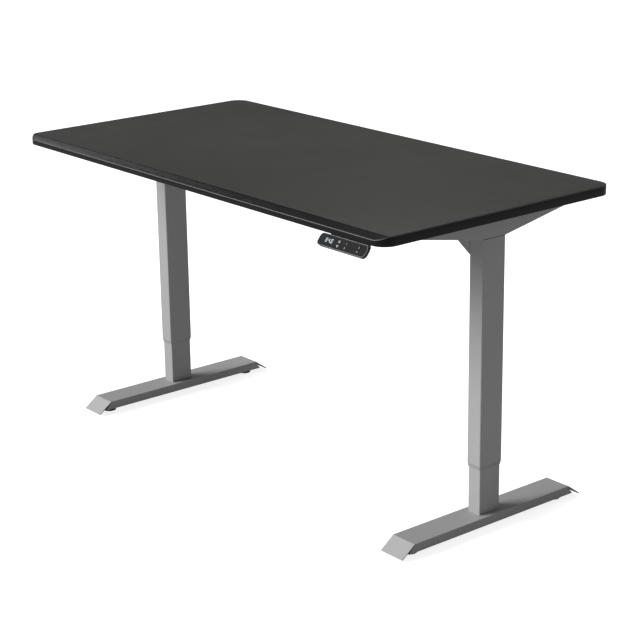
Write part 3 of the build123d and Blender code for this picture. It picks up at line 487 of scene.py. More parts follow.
def laminate_material():
    """The embossed sheet on the flat face, painted shade on the tilted bevel and sides, and a painted
    highlight line on the arrises.
    """
    material = finish("black_laminate", LAMINATE_TONE, LAMINATE_EDGE, 0.50, variation=0.13, patch=1.3,
                      specks=0.5, speck_scale=700.0, relief=2200.0, depth=0.00009, edge_radius=0.0014,
                      rough_variation=0.10, pebble=760.0)
    tree = material.node_tree
    shader = tree.nodes["Principled BSDF"]
    shader.inputs["Specular IOR Level"].default_value = LAMINATE_SPECULAR
    sheet = shader.inputs["Base Color"].links[0].from_socket
    split = tree.nodes.new("ShaderNodeSeparateXYZ")
    tree.links.new(tree.nodes.new("ShaderNodeNewGeometry").outputs["Normal"], split.inputs["Vector"])
    steep = maths(tree, "SUBTRACT", 1.0, maths(tree, "ABSOLUTE", split.outputs["Z"]))
    band = tree.nodes.new("ShaderNodeClamp")
    tree.links.new(maths(tree, "MULTIPLY", steep, BAND_REACH), band.inputs["Value"])
    smoother = maths(tree, "MULTIPLY", band.outputs["Result"], BAND_POLISH)
    rough = shader.inputs["Roughness"].links[0].from_socket
    tree.links.new(maths(tree, "SUBTRACT", rough, smoother), shader.inputs["Roughness"])
    # painted shade on the tilted faces
    band_shaded = blend_colors(tree, band.outputs["Result"], sheet, SHADED_BAND_TONE)
    # painted highlight: a light line where the normal's z is near the chosen tilt
    off_highlight = maths(tree, "ABSOLUTE", maths(tree, "SUBTRACT", split.outputs["Z"], HIGHLIGHT_LINE_TILT))
    highlight_mask = tree.nodes.new("ShaderNodeClamp")
    near_highlight = maths(tree, "SUBTRACT", 1.0, maths(tree, "DIVIDE", off_highlight, HIGHLIGHT_LINE_SPREAD))
    tree.links.new(near_highlight, highlight_mask.inputs["Value"])
    tree.links.new(blend_colors(tree, highlight_mask.outputs["Result"], band_shaded, HIGHLIGHT_LINE_TONE), shader.inputs["Base Color"])
    return material


laminate = laminate_material()
give(laminate, "tabletop")
print("laminate nodes:", len(laminate.node_tree.nodes))

# %% [markdown]
# ## Plated, cast and turned metal
#
# Inside the legs and under the top are bare metals. Zinc plate is bright with a slightly blue grey, cast
# aluminium is grainy from its mould, drawn and turned steel shows fine lines along or round the piece, and
# the worm wheel is brass. Lines come from a noise that is stretched along the piece.

# %% Metals
zinc = finish("zinc_plate", (0.50, 0.52, 0.56), (0.68, 0.68, 0.68), 0.34, metallic=1.0, variation=0.14,
              patch=30.0, specks=0.8, speck_scale=900.0, relief=900.0, depth=0.00002)
give(zinc, *both("leg_base_plate"), *both("nut_carrier"), "glide_nuts")
cast = finish("cast_aluminium", (0.40, 0.41, 0.42), (0.58, 0.58, 0.58), 0.52, metallic=1.0, variation=0.16,
              patch=18.0, specks=1.0, speck_scale=1100.0, relief=520.0, depth=0.00012)
give(cast, *both("gearbox_housing"), *both("gearbox_cover"))
brass = finish("wheel_brass", (0.62, 0.43, 0.16), (0.82, 0.63, 0.32), 0.30, metallic=1.0, patch=40.0,
               stretch=(900.0, 900.0, 60.0))
give(brass, *both("worm_wheel"))
can = finish("motor_can", (0.16, 0.165, 0.17), (0.40, 0.40, 0.40), 0.38, metallic=1.0, patch=20.0,
             stretch=(40.0, 1500.0, 1500.0))
give(can, *both("motor_case"))
ground = finish("ground_steel", (0.56, 0.57, 0.58), (0.74, 0.74, 0.74), 0.24, metallic=1.0, patch=25.0,
                stretch=(1200.0, 1200.0, 300.0))
give(ground, *both("spindle"), *both("motor_rotor"), "spindle_bearings")
black_zinc = finish("black_zinc", (0.030, 0.030, 0.033), (0.22, 0.22, 0.22), 0.36, metallic=0.7,
                    variation=0.25, patch=60.0, specks=0.8, relief=1500.0, edge_radius=0.0003)
give(black_zinc, "gearbox_screws")
print("metals:", [metal.name for metal in (zinc, cast, brass, can, ground, black_zinc)])

# %% [markdown]
# ## Plastics and circuit board
#
# The control box has a sparked, grainy black skin, its sockets are smoother, the glides are nylon, the
# nuts and sleeves inside the legs are waxy white acetal, and the handset's body is a finer black with a
# glossy touch panel over it. They share the builder and differ in gloss, grain and relief.

# %% Plastics
acetal = finish("white_acetal", (0.78, 0.78, 0.74), (0.86, 0.86, 0.83), 0.38, variation=0.04, patch=25.0,
                relief=800.0)
give(acetal, *both("guide_sleeve"), *both("lift_nut"))
nylon = finish("glide_nylon", (0.017, 0.017, 0.018), (0.055, 0.055, 0.055), 0.42, variation=0.2, patch=50.0,
               specks=0.6, relief=1300.0, depth=0.00005)
case_skin = finish("case_plastic", (0.022, 0.022, 0.023), (0.06, 0.06, 0.06), 0.55, variation=0.18,
                   patch=12.0, specks=0.8, relief=1500.0, depth=0.00012, pebble=1100.0)
give(case_skin, "control_box_case", "control_box_lid")
socket_plastic = finish("socket_plastic", (0.014, 0.014, 0.015), (0.05, 0.05, 0.05), 0.36, variation=0.2,
                        patch=30.0, relief=1800.0)
give(socket_plastic, "power_inlet", "motor_sockets")
solder_mask = finish("solder_mask", (0.008, 0.085, 0.030), (0.02, 0.14, 0.06), 0.28, variation=0.3,
                     patch=70.0, specks=0.9, speck_scale=420.0, coat=0.3)
give(solder_mask, "control_board", "handset_board")
handset_skin = finish("handset_plastic", (0.014, 0.014, 0.0145), (0.10, 0.10, 0.10), 0.34, variation=0.18,
                      patch=25.0, specks=0.5, relief=1600.0, depth=0.00003, edge_radius=0.0012)
give(handset_skin, "handset_housing")
panel_gloss = finish("handset_gloss", (0.007, 0.007, 0.0075), (0.03, 0.03, 0.03), 0.10, variation=0.25,
                     patch=18.0, relief=300.0, depth=0.000004, edge_radius=0.0006, rough_variation=0.08,
                     coat=0.2)
give(panel_gloss, "handset_panel", "handset_display")
print("finishes:", len(bpy.data.materials))

# %% [markdown]
# ## Modelling tools
#
# New pieces are modelled as by hand. A primitive is added at its size and place, then faces and edges are
# chosen by where they are or which way they face, and edit-mode operators shape them. These helpers keep
# three things right each time: nothing else is selected, the primitive's place is in its mesh, and the
# piece leaves edit mode with smooth shading up to its sharp edges. Rings of every kind come from one
# helper: the two flat faces of a slab are inset and taken out, and the loops left over are bridged.

# %% Modelling tools
def begin(kind, name, **size):
    """Adds a mesh primitive with nothing else selected, and puts its place in its mesh."""
    bpy.ops.object.select_all(action="DESELECT")
    getattr(bpy.ops.mesh, f"primitive_{kind}_add")(**size)
    piece = bpy.context.object
    piece.name = piece.data.name = name
    bpy.ops.object.transform_apply(location=True, rotation=True, scale=True)
    return piece


def block(name, low, high):
    """A box between two corners."""
    low, high = Vector(low), Vector(high)
    return begin("cube", name, size=1, location=(low + high) / 2, scale=high - low)


def rod(name, radius, start, length, axis="Z", vertices=32):
    """A cylinder along an axis, from its start."""
    way = {"X": Vector((1, 0, 0)), "Y": Vector((0, 1, 0)), "Z": Vector((0, 0, 1))}[axis]
    turns = {"X": (0, pi / 2, 0), "Y": (-pi / 2, 0, 0), "Z": (0, 0, 0)}[axis]
    middle = Vector(start) + way * length / 2
    return begin("cylinder", name, radius=radius, depth=abs(length), vertices=vertices, location=middle,
                 rotation=turns)


def choose(piece, kind, test):
    """Opens a piece in edit mode with the points, edges or faces that pass a test selected."""
    bpy.context.view_layer.objects.active = piece
    bpy.ops.object.mode_set(mode="EDIT")
    bpy.ops.mesh.select_mode(type=kind)
    bpy.ops.mesh.select_all(action="DESELECT")
    shape = bmesh.from_edit_mesh(piece.data)
    chosen = [item for item in {"VERT": shape.verts, "EDGE": shape.edges, "FACE": shape.faces}[kind]
              if test(item)]
    for item in chosen:
        item.select_set(True)
    bmesh.update_edit_mesh(piece.data)
    return len(chosen)


def faces_towards(way, least=0.99):
    """A test for faces that look in a direction."""
    way = Vector(way).normalized()
    return lambda face: face.normal.dot(way) > least


def sharp(least=20.0):
    """A test for edges that turn by more than some degrees."""
    return lambda edge: len(edge.link_faces) == 2 and edge.calc_face_angle() > radians(least)


def close(piece, angle=32.0):
    """Leaves edit mode and shades the piece smooth up to its sharp edges."""
    bpy.ops.object.mode_set(mode="OBJECT")
    bpy.ops.object.select_all(action="DESELECT")
    piece.select_set(True)
    bpy.context.view_layer.objects.active = piece
    bpy.ops.object.shade_smooth_by_angle(angle=radians(angle))
    return piece


def upright(edge):
    """Whether an edge runs up and down."""
    run = edge.verts[0].co - edge.verts[1].co
    return abs(run.z) > 0.9 * run.length


def hollow(piece, width):
    """Opens a flat slab into a closed ring with walls of one width."""
    choose(piece, "FACE", lambda face: abs(face.normal.z) > 0.99)
    bpy.ops.mesh.inset(thickness=width)
    bpy.ops.mesh.delete(type="FACE")
    bpy.ops.object.mode_set(mode="OBJECT")
    choose(piece, "EDGE", lambda edge: edge.is_boundary)
    bpy.ops.mesh.bridge_edge_loops()
    bpy.ops.mesh.select_all(action="SELECT")
    bpy.ops.mesh.normals_make_consistent(inside=False)
    return close(piece)


def carve(piece, cutter):
    """Cuts one piece's shape out of another and removes the cutter."""
    bpy.ops.object.select_all(action="DESELECT")
    piece.select_set(True)
    bpy.context.view_layer.objects.active = piece
    cut = piece.modifiers.new("carve", "BOOLEAN")
    cut.operation = "DIFFERENCE"
    cut.solver = "EXACT"
    cut.object = cutter
    bpy.ops.object.modifier_apply(modifier=cut.name)
    bpy.data.objects.remove(cutter)
    return piece


def join(pieces, name):
    """Joins pieces into the first."""
    bpy.ops.object.select_all(action="DESELECT")
    for piece in pieces:
        piece.select_set(True)
    bpy.context.view_layer.objects.active = pieces[0]
    if len(pieces) > 1:
        bpy.ops.object.join()
    pieces[0].name = pieces[0].data.name = name
    return pieces[0]


def copies(model, name, matrices):
    """Copies of a model, each with its own mesh and its place in it, joined as one piece."""
    made = []
    for matrix in matrices:
        mesh = model.data.copy()
        mesh.transform(matrix)
        if matrix.determinant() < 0:
            mesh.flip_normals()
        piece = bpy.data.objects.new(name, mesh)
        bpy.context.scene.collection.objects.link(piece)
        made.append(piece)
    whole = join(made, name)
    bpy.data.objects.remove(model)
    return whole


def belongs(piece, body, slot, material, *replaced):
    """Gives a new piece its finish and its body, and hides the frame pieces it stands for; its slot is not
    used.
    """
    piece.data.materials.clear()
    piece.data.materials.append(material)
    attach(piece, body)
    if replaced:
        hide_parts(*replaced)
    return piece


# %% [markdown]
# ## Tabletop
#
# The top is a board with rounded corners and one long comfort bevel where forearms rest. A box is bevelled
# at its four upright edges for the corners, a plane slices the bevel off the front, and then every arris
# left over is rounded a little, because a wrapped board never ends in a sharp line. Modelled this way, the
# arrises are real geometry and catch the light along the whole edge. The cutting plane's normal is made one
# unit long, because with a short one bisect snaps points that are well away from the plane onto the cut.

# %% Tabletop
CORNER_RADIUS = 0.040
CORNER_STEPS = 20
BEVEL_DROP = 0.0102
BEVEL_DEPTH = 0.020
ARRIS = 0.0018
ARRIS_STEPS = 3


def make_tabletop():
    """A board with round corners, a bevelled front and soft arrises."""
    top = block("tabletop_board", TOP_LOW, TOP_HIGH)
    choose(top, "EDGE", upright)
    bpy.ops.mesh.bevel(offset=CORNER_RADIUS, segments=CORNER_STEPS, affect="EDGES")
    bpy.ops.mesh.select_all(action="SELECT")
    bpy.ops.mesh.bisect(plane_co=(0, TOP_LOW.y, TOP_HIGH.z - BEVEL_DROP),
                        plane_no=Vector((0, -BEVEL_DROP, BEVEL_DEPTH)).normalized(), use_fill=True,
                        clear_outer=True)
    bpy.ops.object.mode_set(mode="OBJECT")
    rounded = choose(top, "EDGE", sharp())
    bpy.ops.mesh.bevel(offset=ARRIS, segments=ARRIS_STEPS, affect="EDGES")
    print("tabletop:", rounded, "edges rounded")
    return close(top)


belongs(make_tabletop(), "upper", "black_laminate", laminate, "tabletop")

# %% [markdown]
# ## Screws
#
# The frame draws each screw as a round head on a plain shank. Real heads are what show a maker's care:
# the top is held by pan-head screws with a cross recess, and the steel parts by button-head screws with a
# hexagon socket. They are placed on the frame's own screws, so the loose solids of each node are measured
# first: points that share edges belong to one screw.

# %% Screw places
def solid_boxes(node):
    """The lowest and highest corner of each separate solid in a CAD piece."""
    shape = bmesh.new()
    shape.from_mesh(NODES[node].data)
    bmesh.ops.remove_doubles(shape, verts=shape.verts, dist=1e-6)
    boxes, seen = [], set()
    for first in shape.verts:
        if first in seen:
            continue
        seen.add(first)
        waiting, solid = [first], []
        while waiting:
            point = waiting.pop()
            solid.append(point.co.copy())
            for edge in point.link_edges:
                other = edge.other_vert(point)
                if other not in seen:
                    seen.add(other)
                    waiting.append(other)
        boxes.append((Vector([min(p[k] for p in solid) for k in range(3)]),
                      Vector([max(p[k] for p in solid) for k in range(3)])))
    shape.free()
    return boxes


print("screws under the top:", len(solid_boxes("tabletop_screws")))

# %% [markdown]
# ### Screw shapes
#
# A screw starts as a disc. Its lower face is inset to the shank's width and pushed down twice, and the last
# step is narrowed into a tip. The head's upper rim is bevelled into a dome. A cross recess is two crossed
# blocks cut out of the head, and a socket is a six-sided rod cut out of it.

# %% Screw models
TIP_SHARE = 0.15
TIP_TAPER = 0.35
HEAD_RIM = 0.9
PAN_DOME = 0.45
BUTTON_DOME = 0.6
CROSS_ARM = 0.55
CROSS_WIDTH = 0.12
CROSS_FLOOR = 0.35
CUTTER_TOP = 1.5
SOCKET_WIDTH = 0.46
SOCKET_FLOOR = 0.3


def screw(name, head_radius, head_height, shank_radius, shank_length, dome):
    """A screw with its head up from z 0 and its shank down, without a recess."""
    piece = rod(name, head_radius, (0, 0, 0), head_height, vertices=28)
    choose(piece, "FACE", faces_towards((0, 0, -1)))
    bpy.ops.mesh.inset(thickness=head_radius - shank_radius)
    for share in (1 - TIP_SHARE, TIP_SHARE):
        bpy.ops.mesh.extrude_region_move(TRANSFORM_OT_translate={"value": (0, 0, -shank_length * share)})
    bpy.ops.transform.resize(value=(TIP_TAPER, TIP_TAPER, 1), center_override=(0, 0, 0))
    bpy.ops.object.mode_set(mode="OBJECT")
    rim = head_height * HEAD_RIM
    choose(piece, "EDGE", lambda edge: sharp()(edge) and min(v.co.z for v in edge.verts) > rim)
    bpy.ops.mesh.bevel(offset=head_height * dome, segments=4, affect="EDGES")
    return close(piece)


def cross_screw(name, head_radius, head_height, shank_radius, shank_length):
    """A pan head with a cross recess."""
    piece = screw(name, head_radius, head_height, shank_radius, shank_length, PAN_DOME)
    for reach_x, reach_y in ((CROSS_ARM, CROSS_WIDTH), (CROSS_WIDTH, CROSS_ARM)):
        arm = Vector((head_radius * reach_x, head_radius * reach_y, 0))
        carve(piece, block("recess", -arm + Vector((0, 0, head_height * CROSS_FLOOR)),
                           arm + Vector((0, 0, head_height * CUTTER_TOP))))
    return piece


def socket_screw(name, head_radius, head_height, shank_radius, shank_length):
    """A button head with a hexagon socket."""
    piece = screw(name, head_radius, head_height, shank_radius, shank_length, BUTTON_DOME)
    floor = (0, 0, head_height * SOCKET_FLOOR)
    return carve(piece, rod("socket", head_radius * SOCKET_WIDTH, floor, head_height, vertices=6))


# %% [markdown]
# ### Screws in their places
#
# Each set has one model with its head up. Its copies are turned so that the head faces the side it is
# driven from, and every screw stops at its own angle, because nobody lines up the recesses by hand.

# %% Screw copies
WOOD_SCREW = (0.0045, 0.0026, 0.0022)       # head radius, head height, shank radius
MACHINE_SCREW = (0.0052, 0.0033, 0.0030)
wrench = random.Random(11)


def head_matrix(low, high, way, head_height):
    """Turns a screw's head towards a direction, with the head's face on the box's end there."""
    way = Vector(way)
    middle = (low + high) / 2
    reach = (high - low) / 2
    face = middle + Vector([way[k] * reach[k] for k in range(3)])
    turn = way.to_track_quat("Z", "Y").to_matrix().to_4x4()
    spin = Matrix.Rotation(wrench.uniform(0, tau), 4, "Z")
    return Matrix.Translation(face - way * head_height) @ turn @ spin


def outward(low, high):
    """Away from the leg's middle, to the front or the back."""
    return (0, -1, 0) if (low.y + high.y) / 2 < LEG_Y else (0, 1, 0)


def downward(_low, _high):
    """Down, wherever the screw is."""
    return (0, 0, -1)


CROSS = (cross_screw, WOOD_SCREW)
SOCKET = (socket_screw, MACHINE_SCREW)
BLACK = (black_zinc, "black_screws")
PLATED = (zinc, "zinc_plated_steel")
SCREW_SETS = (
    ("tabletop_screws", "tabletop_wood_screws", CROSS, downward, "upper", BLACK),
    ("handset_screws", "handset_wood_screws", CROSS, downward, "upper", BLACK),
    ("control_box_screws", "control_box_wood_screws", CROSS, downward, "upper", BLACK),
    ("bracket_screws", "bracket_socket_screws", SOCKET, downward, "upper", PLATED),
    ("crossbar_screws", "crossbar_socket_screws", SOCKET, outward, "upper", BLACK),
    ("foot_bolts", "foot_socket_bolts", SOCKET, downward, "base", PLATED),
)
for node, name, (kind, (head_radius, head_height, shank_radius)), way, body, (material, slot) in SCREW_SETS:
    boxes = solid_boxes(node)
    length = max((high - low)[1 if way is outward else 2] for low, high in boxes) - head_height
    model = kind("screw_model", head_radius, head_height, shank_radius, length)
    places = [head_matrix(low, high, way(low, high), head_height) for low, high in boxes]
    belongs(copies(model, name, places), body, slot, material, node)
    print(name, len(places), "screws,", round(length * 1000, 1), "mm shanks")

# %% [markdown]
# ## Levelling glides
#
# Each foot stands on two black nylon glides. A glide is turned by hand to level the desk, so its rim has
# grip flutes, its sole is hollowed so that it stands on its edge, and a threaded stud carries it. The rim
# comes from a cylinder whose every other side face is pushed in. The thread is a stack of narrow rings,
# because its pitch is too small for a helix to be told from rings.

# %% Levelling glides
GLIDE_PAD = 0.011
FLUTES = 30
FLUTE_RIB = 0.0003
FLUTE_DEPTH = 0.0007
SOLE_STEP = 0.0012
SOLE_RECESS = 0.0004
DISH_WALL = 0.0030
DISH_FLOOR = 0.0050
DISH_DEPTH = 0.0008
HEX_RADIUS = 0.008
HEX_HEIGHT = 0.0053
HEX_EDGE = 0.003
HEX_SINK = 0.0009
HEX_ROUND = 0.0006
OVERLAP = 0.0006
STUD_RADIUS = 0.004
STUD_BASE = 0.0008
STUD_END = 0.0014
THREAD_PITCH = 0.00125
THREAD_ROOT = 0.86
THREAD_RING = ((0.35, THREAD_ROOT), (0.15, 1.0), (0.35, 1 / THREAD_ROOT), (0.15, 1.0))


def fluted_pad(x, y, floor, radius):
    """A pad with grip flutes, a stepped sole and a dished top."""
    pad = rod("glide", radius, (x, y, floor), GLIDE_PAD, vertices=FLUTES * 2)
    choose(pad, "FACE", lambda face: abs(face.normal.z) < 0.1 and face.index % 2 == 0)
    bpy.ops.mesh.inset(thickness=FLUTE_RIB, depth=-FLUTE_DEPTH, use_individual=True)
    bpy.ops.object.mode_set(mode="OBJECT")
    choose(pad, "FACE", faces_towards((0, 0, -1)))
    bpy.ops.mesh.inset(thickness=SOLE_STEP)
    bpy.ops.mesh.inset(thickness=SOLE_STEP, depth=-SOLE_RECESS)
    bpy.ops.object.mode_set(mode="OBJECT")
    choose(pad, "FACE", faces_towards((0, 0, 1)))
    bpy.ops.mesh.inset(thickness=DISH_WALL, depth=0.0)
    bpy.ops.mesh.inset(thickness=DISH_FLOOR, depth=0.0)
    bpy.ops.transform.translate(value=(0, 0, -DISH_DEPTH))
    return close(pad)


def threaded_stud(x, y, start, top):
    """A stud with a stack of thread rings, each narrowed and widened again as it is pushed up."""
    stud = rod("glide_stud", STUD_RADIUS, (x, y, start), STUD_BASE, vertices=20)
    choose(stud, "FACE", faces_towards((0, 0, 1)))
    for _ in range(int((top - start - STUD_END) / THREAD_PITCH)):
        for step, factor in THREAD_RING:
            move = {"value": (0, 0, THREAD_PITCH * step)}
            bpy.ops.mesh.extrude_region_move(TRANSFORM_OT_translate=move)
            bpy.ops.transform.resize(value=(factor, factor, 1), center_override=(x, y, 0))
    return close(stud)


def make_glide(low, high):
    """A fluted pad, its hexagon and its threaded stud."""
    x, y = (low.x + high.x) / 2, (low.y + high.y) / 2
    pad = fluted_pad(x, y, low.z, (high.x - low.x) / 2)
    pad_top = low.z + GLIDE_PAD
    hexagon = rod("glide_hexagon", HEX_RADIUS, (x, y, pad_top - HEX_SINK), HEX_HEIGHT + OVERLAP, vertices=6)
    choose(hexagon, "EDGE", lambda edge: all(v.co.z > pad_top + HEX_EDGE for v in edge.verts))
    bpy.ops.mesh.bevel(offset=HEX_ROUND, segments=2, affect="EDGES")
    close(hexagon)
    stud = threaded_stud(x, y, pad_top + HEX_HEIGHT - OVERLAP, high.z)
    return join([pad, hexagon, stud], "glide_turned")


for end in ENDS:
    for side in SIDES:
        node = f"glide_{end}_{side}"
        glide = make_glide(*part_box(node))
        glide.name = glide.data.name = f"{node}_turned"
        belongs(glide, node, "black_glide_plastic", nylon, node)
print("four glides,", len(glide.data.polygons), "faces each")

# %% [markdown]
# ## Handset
#
# The handset leans out from under the front edge, so that its face can be read from a chair. The face is
# a glossy touch panel: a lit three-figure height display at its left, then an up and a down arrow and
# four preset numbers. All of these are thin raised shapes on the face, laid out in the face's own flat
# coordinates and then tilted into place, which keeps them aligned whatever the tilt.

# %% Handset face
HANDSET_LOW, HANDSET_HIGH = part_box("handset_housing")
FACE_GAP = 0.001
FACE_DROP = 0.025
FACE_REACH = TOP_LOW.y - HANDSET_LOW.y
FACE_HEIGHT = (FACE_REACH ** 2 + FACE_DROP ** 2) ** 0.5
FACE_WIDTH = HANDSET_HIGH.x - HANDSET_LOW.x
face_up = Vector((0, FACE_REACH, FACE_DROP)).normalized()
face_out = Vector((1, 0, 0)).cross(face_up)
face_middle = Vector(((HANDSET_LOW.x + HANDSET_HIGH.x) / 2, TOP_LOW.y - FACE_REACH / 2,
                      UNDERSIDE - FACE_GAP - FACE_DROP / 2))
FACE = Matrix.Translation(face_middle) @ Matrix((Vector((1, 0, 0)), face_up, face_out)).transposed().to_4x4()
PRINT_HEIGHT = 0.00012


def on_face(piece):
    """Tilts a piece from flat coordinates onto the handset's face."""
    piece.data.transform(FACE)
    return piece


print("handset face", round(FACE_WIDTH * 1000), "x", round(FACE_HEIGHT * 1000, 1), "mm")

# %% [markdown]
# ## Light of the display
#
# Lit segments glow a cool white behind the panel. The glow is uneven, because one small light behind each
# segment is brighter at its middle, so a noise varies the emission colour.

# %% Lit and printed finishes
def lit_material(name, tone, strength):
    """A glowing finish with a slightly uneven glow."""
    material = finish(name, scaled(tone, 0.5), scaled(tone, 0.6), 0.3, variation=0.1, patch=120.0)
    tree = material.node_tree
    shader = tree.nodes["Principled BSDF"]
    uneven = maths(tree, "ADD", effect(tree, SLOW_VARIATION, Scale=350.0, Strength=0.8), 0.5)
    glow = blend_colors(tree, uneven, scaled(tone, 0.75), tone)
    tree.links.new(glow, shader.inputs["Emission Color"])
    shader.inputs["Emission Strength"].default_value = strength
    return material


display_light = lit_material("display_light", (0.80, 0.90, 1.0), 0.20)
print_light = lit_material("icon_light", (0.72, 0.74, 0.78), 0.10)
print("lit finishes:", display_light.name, print_light.name)

# %% [markdown]
# ### Figures of the display
#
# The display shows the height of the top in centimetres, in seven-segment figures. Each segment is a thin
# bar with soft ends, and a table says which of the segments a to g a figure lights. The figures are read
# from the frame's own height, so they stay right when the frame changes.

# %% Display figures
FIGURE_HEIGHT = 0.0105
FIGURE_WIDTH = 0.0058
FIGURE_STEP = 0.0092
STROKE = 0.0011
STROKE_ROUND = STROKE * 0.35
STROKE_GAP = STROKE * 0.65
FIGURES_MIDDLE = (-0.0465, 0.0008)
SEGMENTS = {"0": "abcdef", "1": "bc", "2": "abged", "3": "abgcd", "4": "fgbc", "5": "afgcd", "6": "afgedc",
            "7": "abc", "8": "abcdefg", "9": "abcfgd"}


def bar(name, low, high):
    """A thin raised bar with soft ends, flat on the face."""
    piece = block(name, (*low, 0), (*high, PRINT_HEIGHT))
    choose(piece, "EDGE", upright)
    bpy.ops.mesh.bevel(offset=STROKE_ROUND, segments=2, affect="EDGES")
    return close(piece)


def figure(digit, middle):
    """A seven-segment figure."""
    x, y = middle
    half_w, half_h, half = FIGURE_WIDTH / 2, FIGURE_HEIGHT / 2, STROKE / 2
    across = {"a": half_h - half, "g": 0.0, "d": -half_h + half}
    down = {"f": (-1, 1), "b": (1, 1), "e": (-1, -1), "c": (1, -1)}
    made = []
    for segment in SEGMENTS[digit]:
        if segment in across:
            level = y + across[segment]
            low = (x - half_w + STROKE_GAP, level - half)
            high = (x + half_w - STROKE_GAP, level + half)
        else:
            side, upper = down[segment]
            centre = x + side * (half_w - half)
            ends = sorted((y + upper * STROKE_GAP, y + upper * (half_h - STROKE_GAP)))
            low, high = (centre - half, ends[0]), (centre + half, ends[1])
        made.append(bar("segment", low, high))
    return made


CM = 100
reading = f"{TOP_HIGH.z * CM:.1f}"
lit = []
cursor = FIGURES_MIDDLE[0] - FIGURE_STEP
for sign in reading:
    if sign == ".":
        dot_x, dot_y = cursor - FIGURE_STEP / 2, FIGURES_MIDDLE[1] - FIGURE_HEIGHT / 2
        lit.append(bar("point", (dot_x - STROKE / 2, dot_y), (dot_x + STROKE / 2, dot_y + STROKE)))
    else:
        lit += figure(sign, (cursor, FIGURES_MIDDLE[1]))
        cursor += FIGURE_STEP
belongs(on_face(join(lit, "display_figures")), "upper", "display_module", display_light)
print("display reads", reading)

# %% [markdown]
# ## Arrows and preset numbers
#
# The touch keys are printed marks: two arrowheads and the numbers 1 to 4. An arrowhead starts as a
# three-sided cylinder that is opened into a ring, which leaves its outline. Numbers are set as text,
# thickened, and made a mesh before they are tilted into place.

# %% Arrows and preset numbers
ARROW_SIZE = 0.0040
ARROW_STROKE = ARROW_SIZE * 0.22
KEY_TEXT = 0.0062
ARROWS = ((-0.0130, 0.0045, 1), (-0.0130, -0.0065, -1))
PRESETS = (("1", 0.0125, 0.0045), ("2", 0.0125, -0.0065), ("3", 0.0550, 0.0045), ("4", 0.0550, -0.0065))


def arrow(x, y, up):
    """An arrowhead outline, flat on the face."""
    piece = rod("arrow", ARROW_SIZE, (0, 0, 0), PRINT_HEIGHT, vertices=3)
    piece.data.transform(Matrix.Translation((x, y, 0)) @ Matrix.Scale(up, 4, (0, 1, 0)))
    if up < 0:
        piece.data.flip_normals()
    return hollow(piece, ARROW_STROKE)


def number(text, x, y):
    """A printed number, flat on the face."""
    bpy.ops.object.select_all(action="DESELECT")
    bpy.ops.object.text_add(location=(0, 0, 0))
    words = bpy.context.object
    words.data.body = text
    words.data.size = KEY_TEXT
    words.data.align_x, words.data.align_y = "CENTER", "CENTER"
    words.data.extrude = PRINT_HEIGHT / 2
    words.data.resolution_u = 4
    bpy.ops.object.convert(target="MESH")
    piece = bpy.context.object
    piece.data.transform(Matrix.Translation((x, y, PRINT_HEIGHT / 2)))
    return piece


marks = [arrow(*place) for place in ARROWS] + [number(*place) for place in PRESETS]
belongs(on_face(join(marks, "handset_marks")), "upper", "display_module", print_light)
print(len(ARROWS), "arrows and", len(PRESETS), "preset numbers")

# %% [markdown]
# ## Handset rim
#
# A thin satin rim frames the glossy panel. It starts as a slab with the face's rounded outline, which is
# opened into a closed ring. It stands a hair proud of the face, so it catches a line of light.

# %% Handset rim
RIM_WIDTH = 0.0011
RIM_CORNER = 0.0110
RIM_THICK = 0.0009
RIM_PROUD = 0.00015
RIM_PLAY = 0.0003
rim_metal = finish("handset_rim", (0.045, 0.045, 0.047), (0.16, 0.16, 0.16), 0.40, metallic=0.3,
                   variation=0.12, patch=35.0, specks=0.4, relief=1600.0, edge_radius=0.0004)


def make_rim():
    """A rounded slab over the handset's face, opened into a ring."""
    half = Vector((FACE_WIDTH / 2, FACE_HEIGHT / 2, 0)) - Vector((RIM_PLAY, RIM_PLAY, 0))
    under, over = Vector((0, 0, RIM_THICK - RIM_PROUD)), Vector((0, 0, RIM_PROUD))
    rim = block("handset_rim", -half - under, half + over)
    choose(rim, "EDGE", upright)
    bpy.ops.mesh.bevel(offset=RIM_CORNER, segments=10, affect="EDGES")
    bpy.ops.object.mode_set(mode="OBJECT")
    return hollow(rim, RIM_WIDTH)


belongs(on_face(make_rim()), "upper", "handset_plastic", rim_metal)
print("rim", round(RIM_WIDTH * 1000, 2), "mm wide")

# %% [markdown]
# ## Control box details
#
# Under the top, behind the crossbar, sits the control box. Its case is moulded with a row of low ribs
# below. One rib is a bar with its lower edges rounded, and its copies are spread evenly along the case.

# %% Control box ribs
BOX_LOW, BOX_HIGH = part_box("control_box_case")
RIB_COUNT = 13
RIB_HEIGHT = 0.0012
RIB_WIDTH = 0.0030
RIB_MARGIN = 0.014
RIB_SINK = 0.0004
RIB_ROUND = 0.0009


def make_ribs():
    """A row of low ribs across the case's lower face."""
    first = BOX_LOW.x + RIB_MARGIN
    step = (BOX_HIGH.x - BOX_LOW.x - 2 * RIB_MARGIN) / (RIB_COUNT - 1)
    rib = block("rib", (-RIB_WIDTH / 2, BOX_LOW.y + RIB_MARGIN, BOX_LOW.z - RIB_HEIGHT),
                (RIB_WIDTH / 2, BOX_HIGH.y - RIB_MARGIN, BOX_LOW.z + RIB_SINK))
    choose(rib, "EDGE", lambda edge: sharp()(edge) and min(v.co.z for v in edge.verts) < BOX_LOW.z)
    bpy.ops.mesh.bevel(offset=RIB_ROUND, segments=3, affect="EDGES")
    close(rib)
    return copies(rib, "control_box_ribs", [Matrix.Translation((first + step * i, 0, 0))
                                            for i in range(RIB_COUNT)])


belongs(make_ribs(), "upper", "black_case_plastic", case_skin)
print(RIB_COUNT, "ribs on the control box")

# %% [markdown]
# ## Motor ends
#
# Each motor is a drawn steel can. Its free end is closed by a stamped cap with a raised bearing boss and
# the heads of two long tie screws. The cap starts as a disc, and insets with a push in or out raise its
# steps, as a press would.

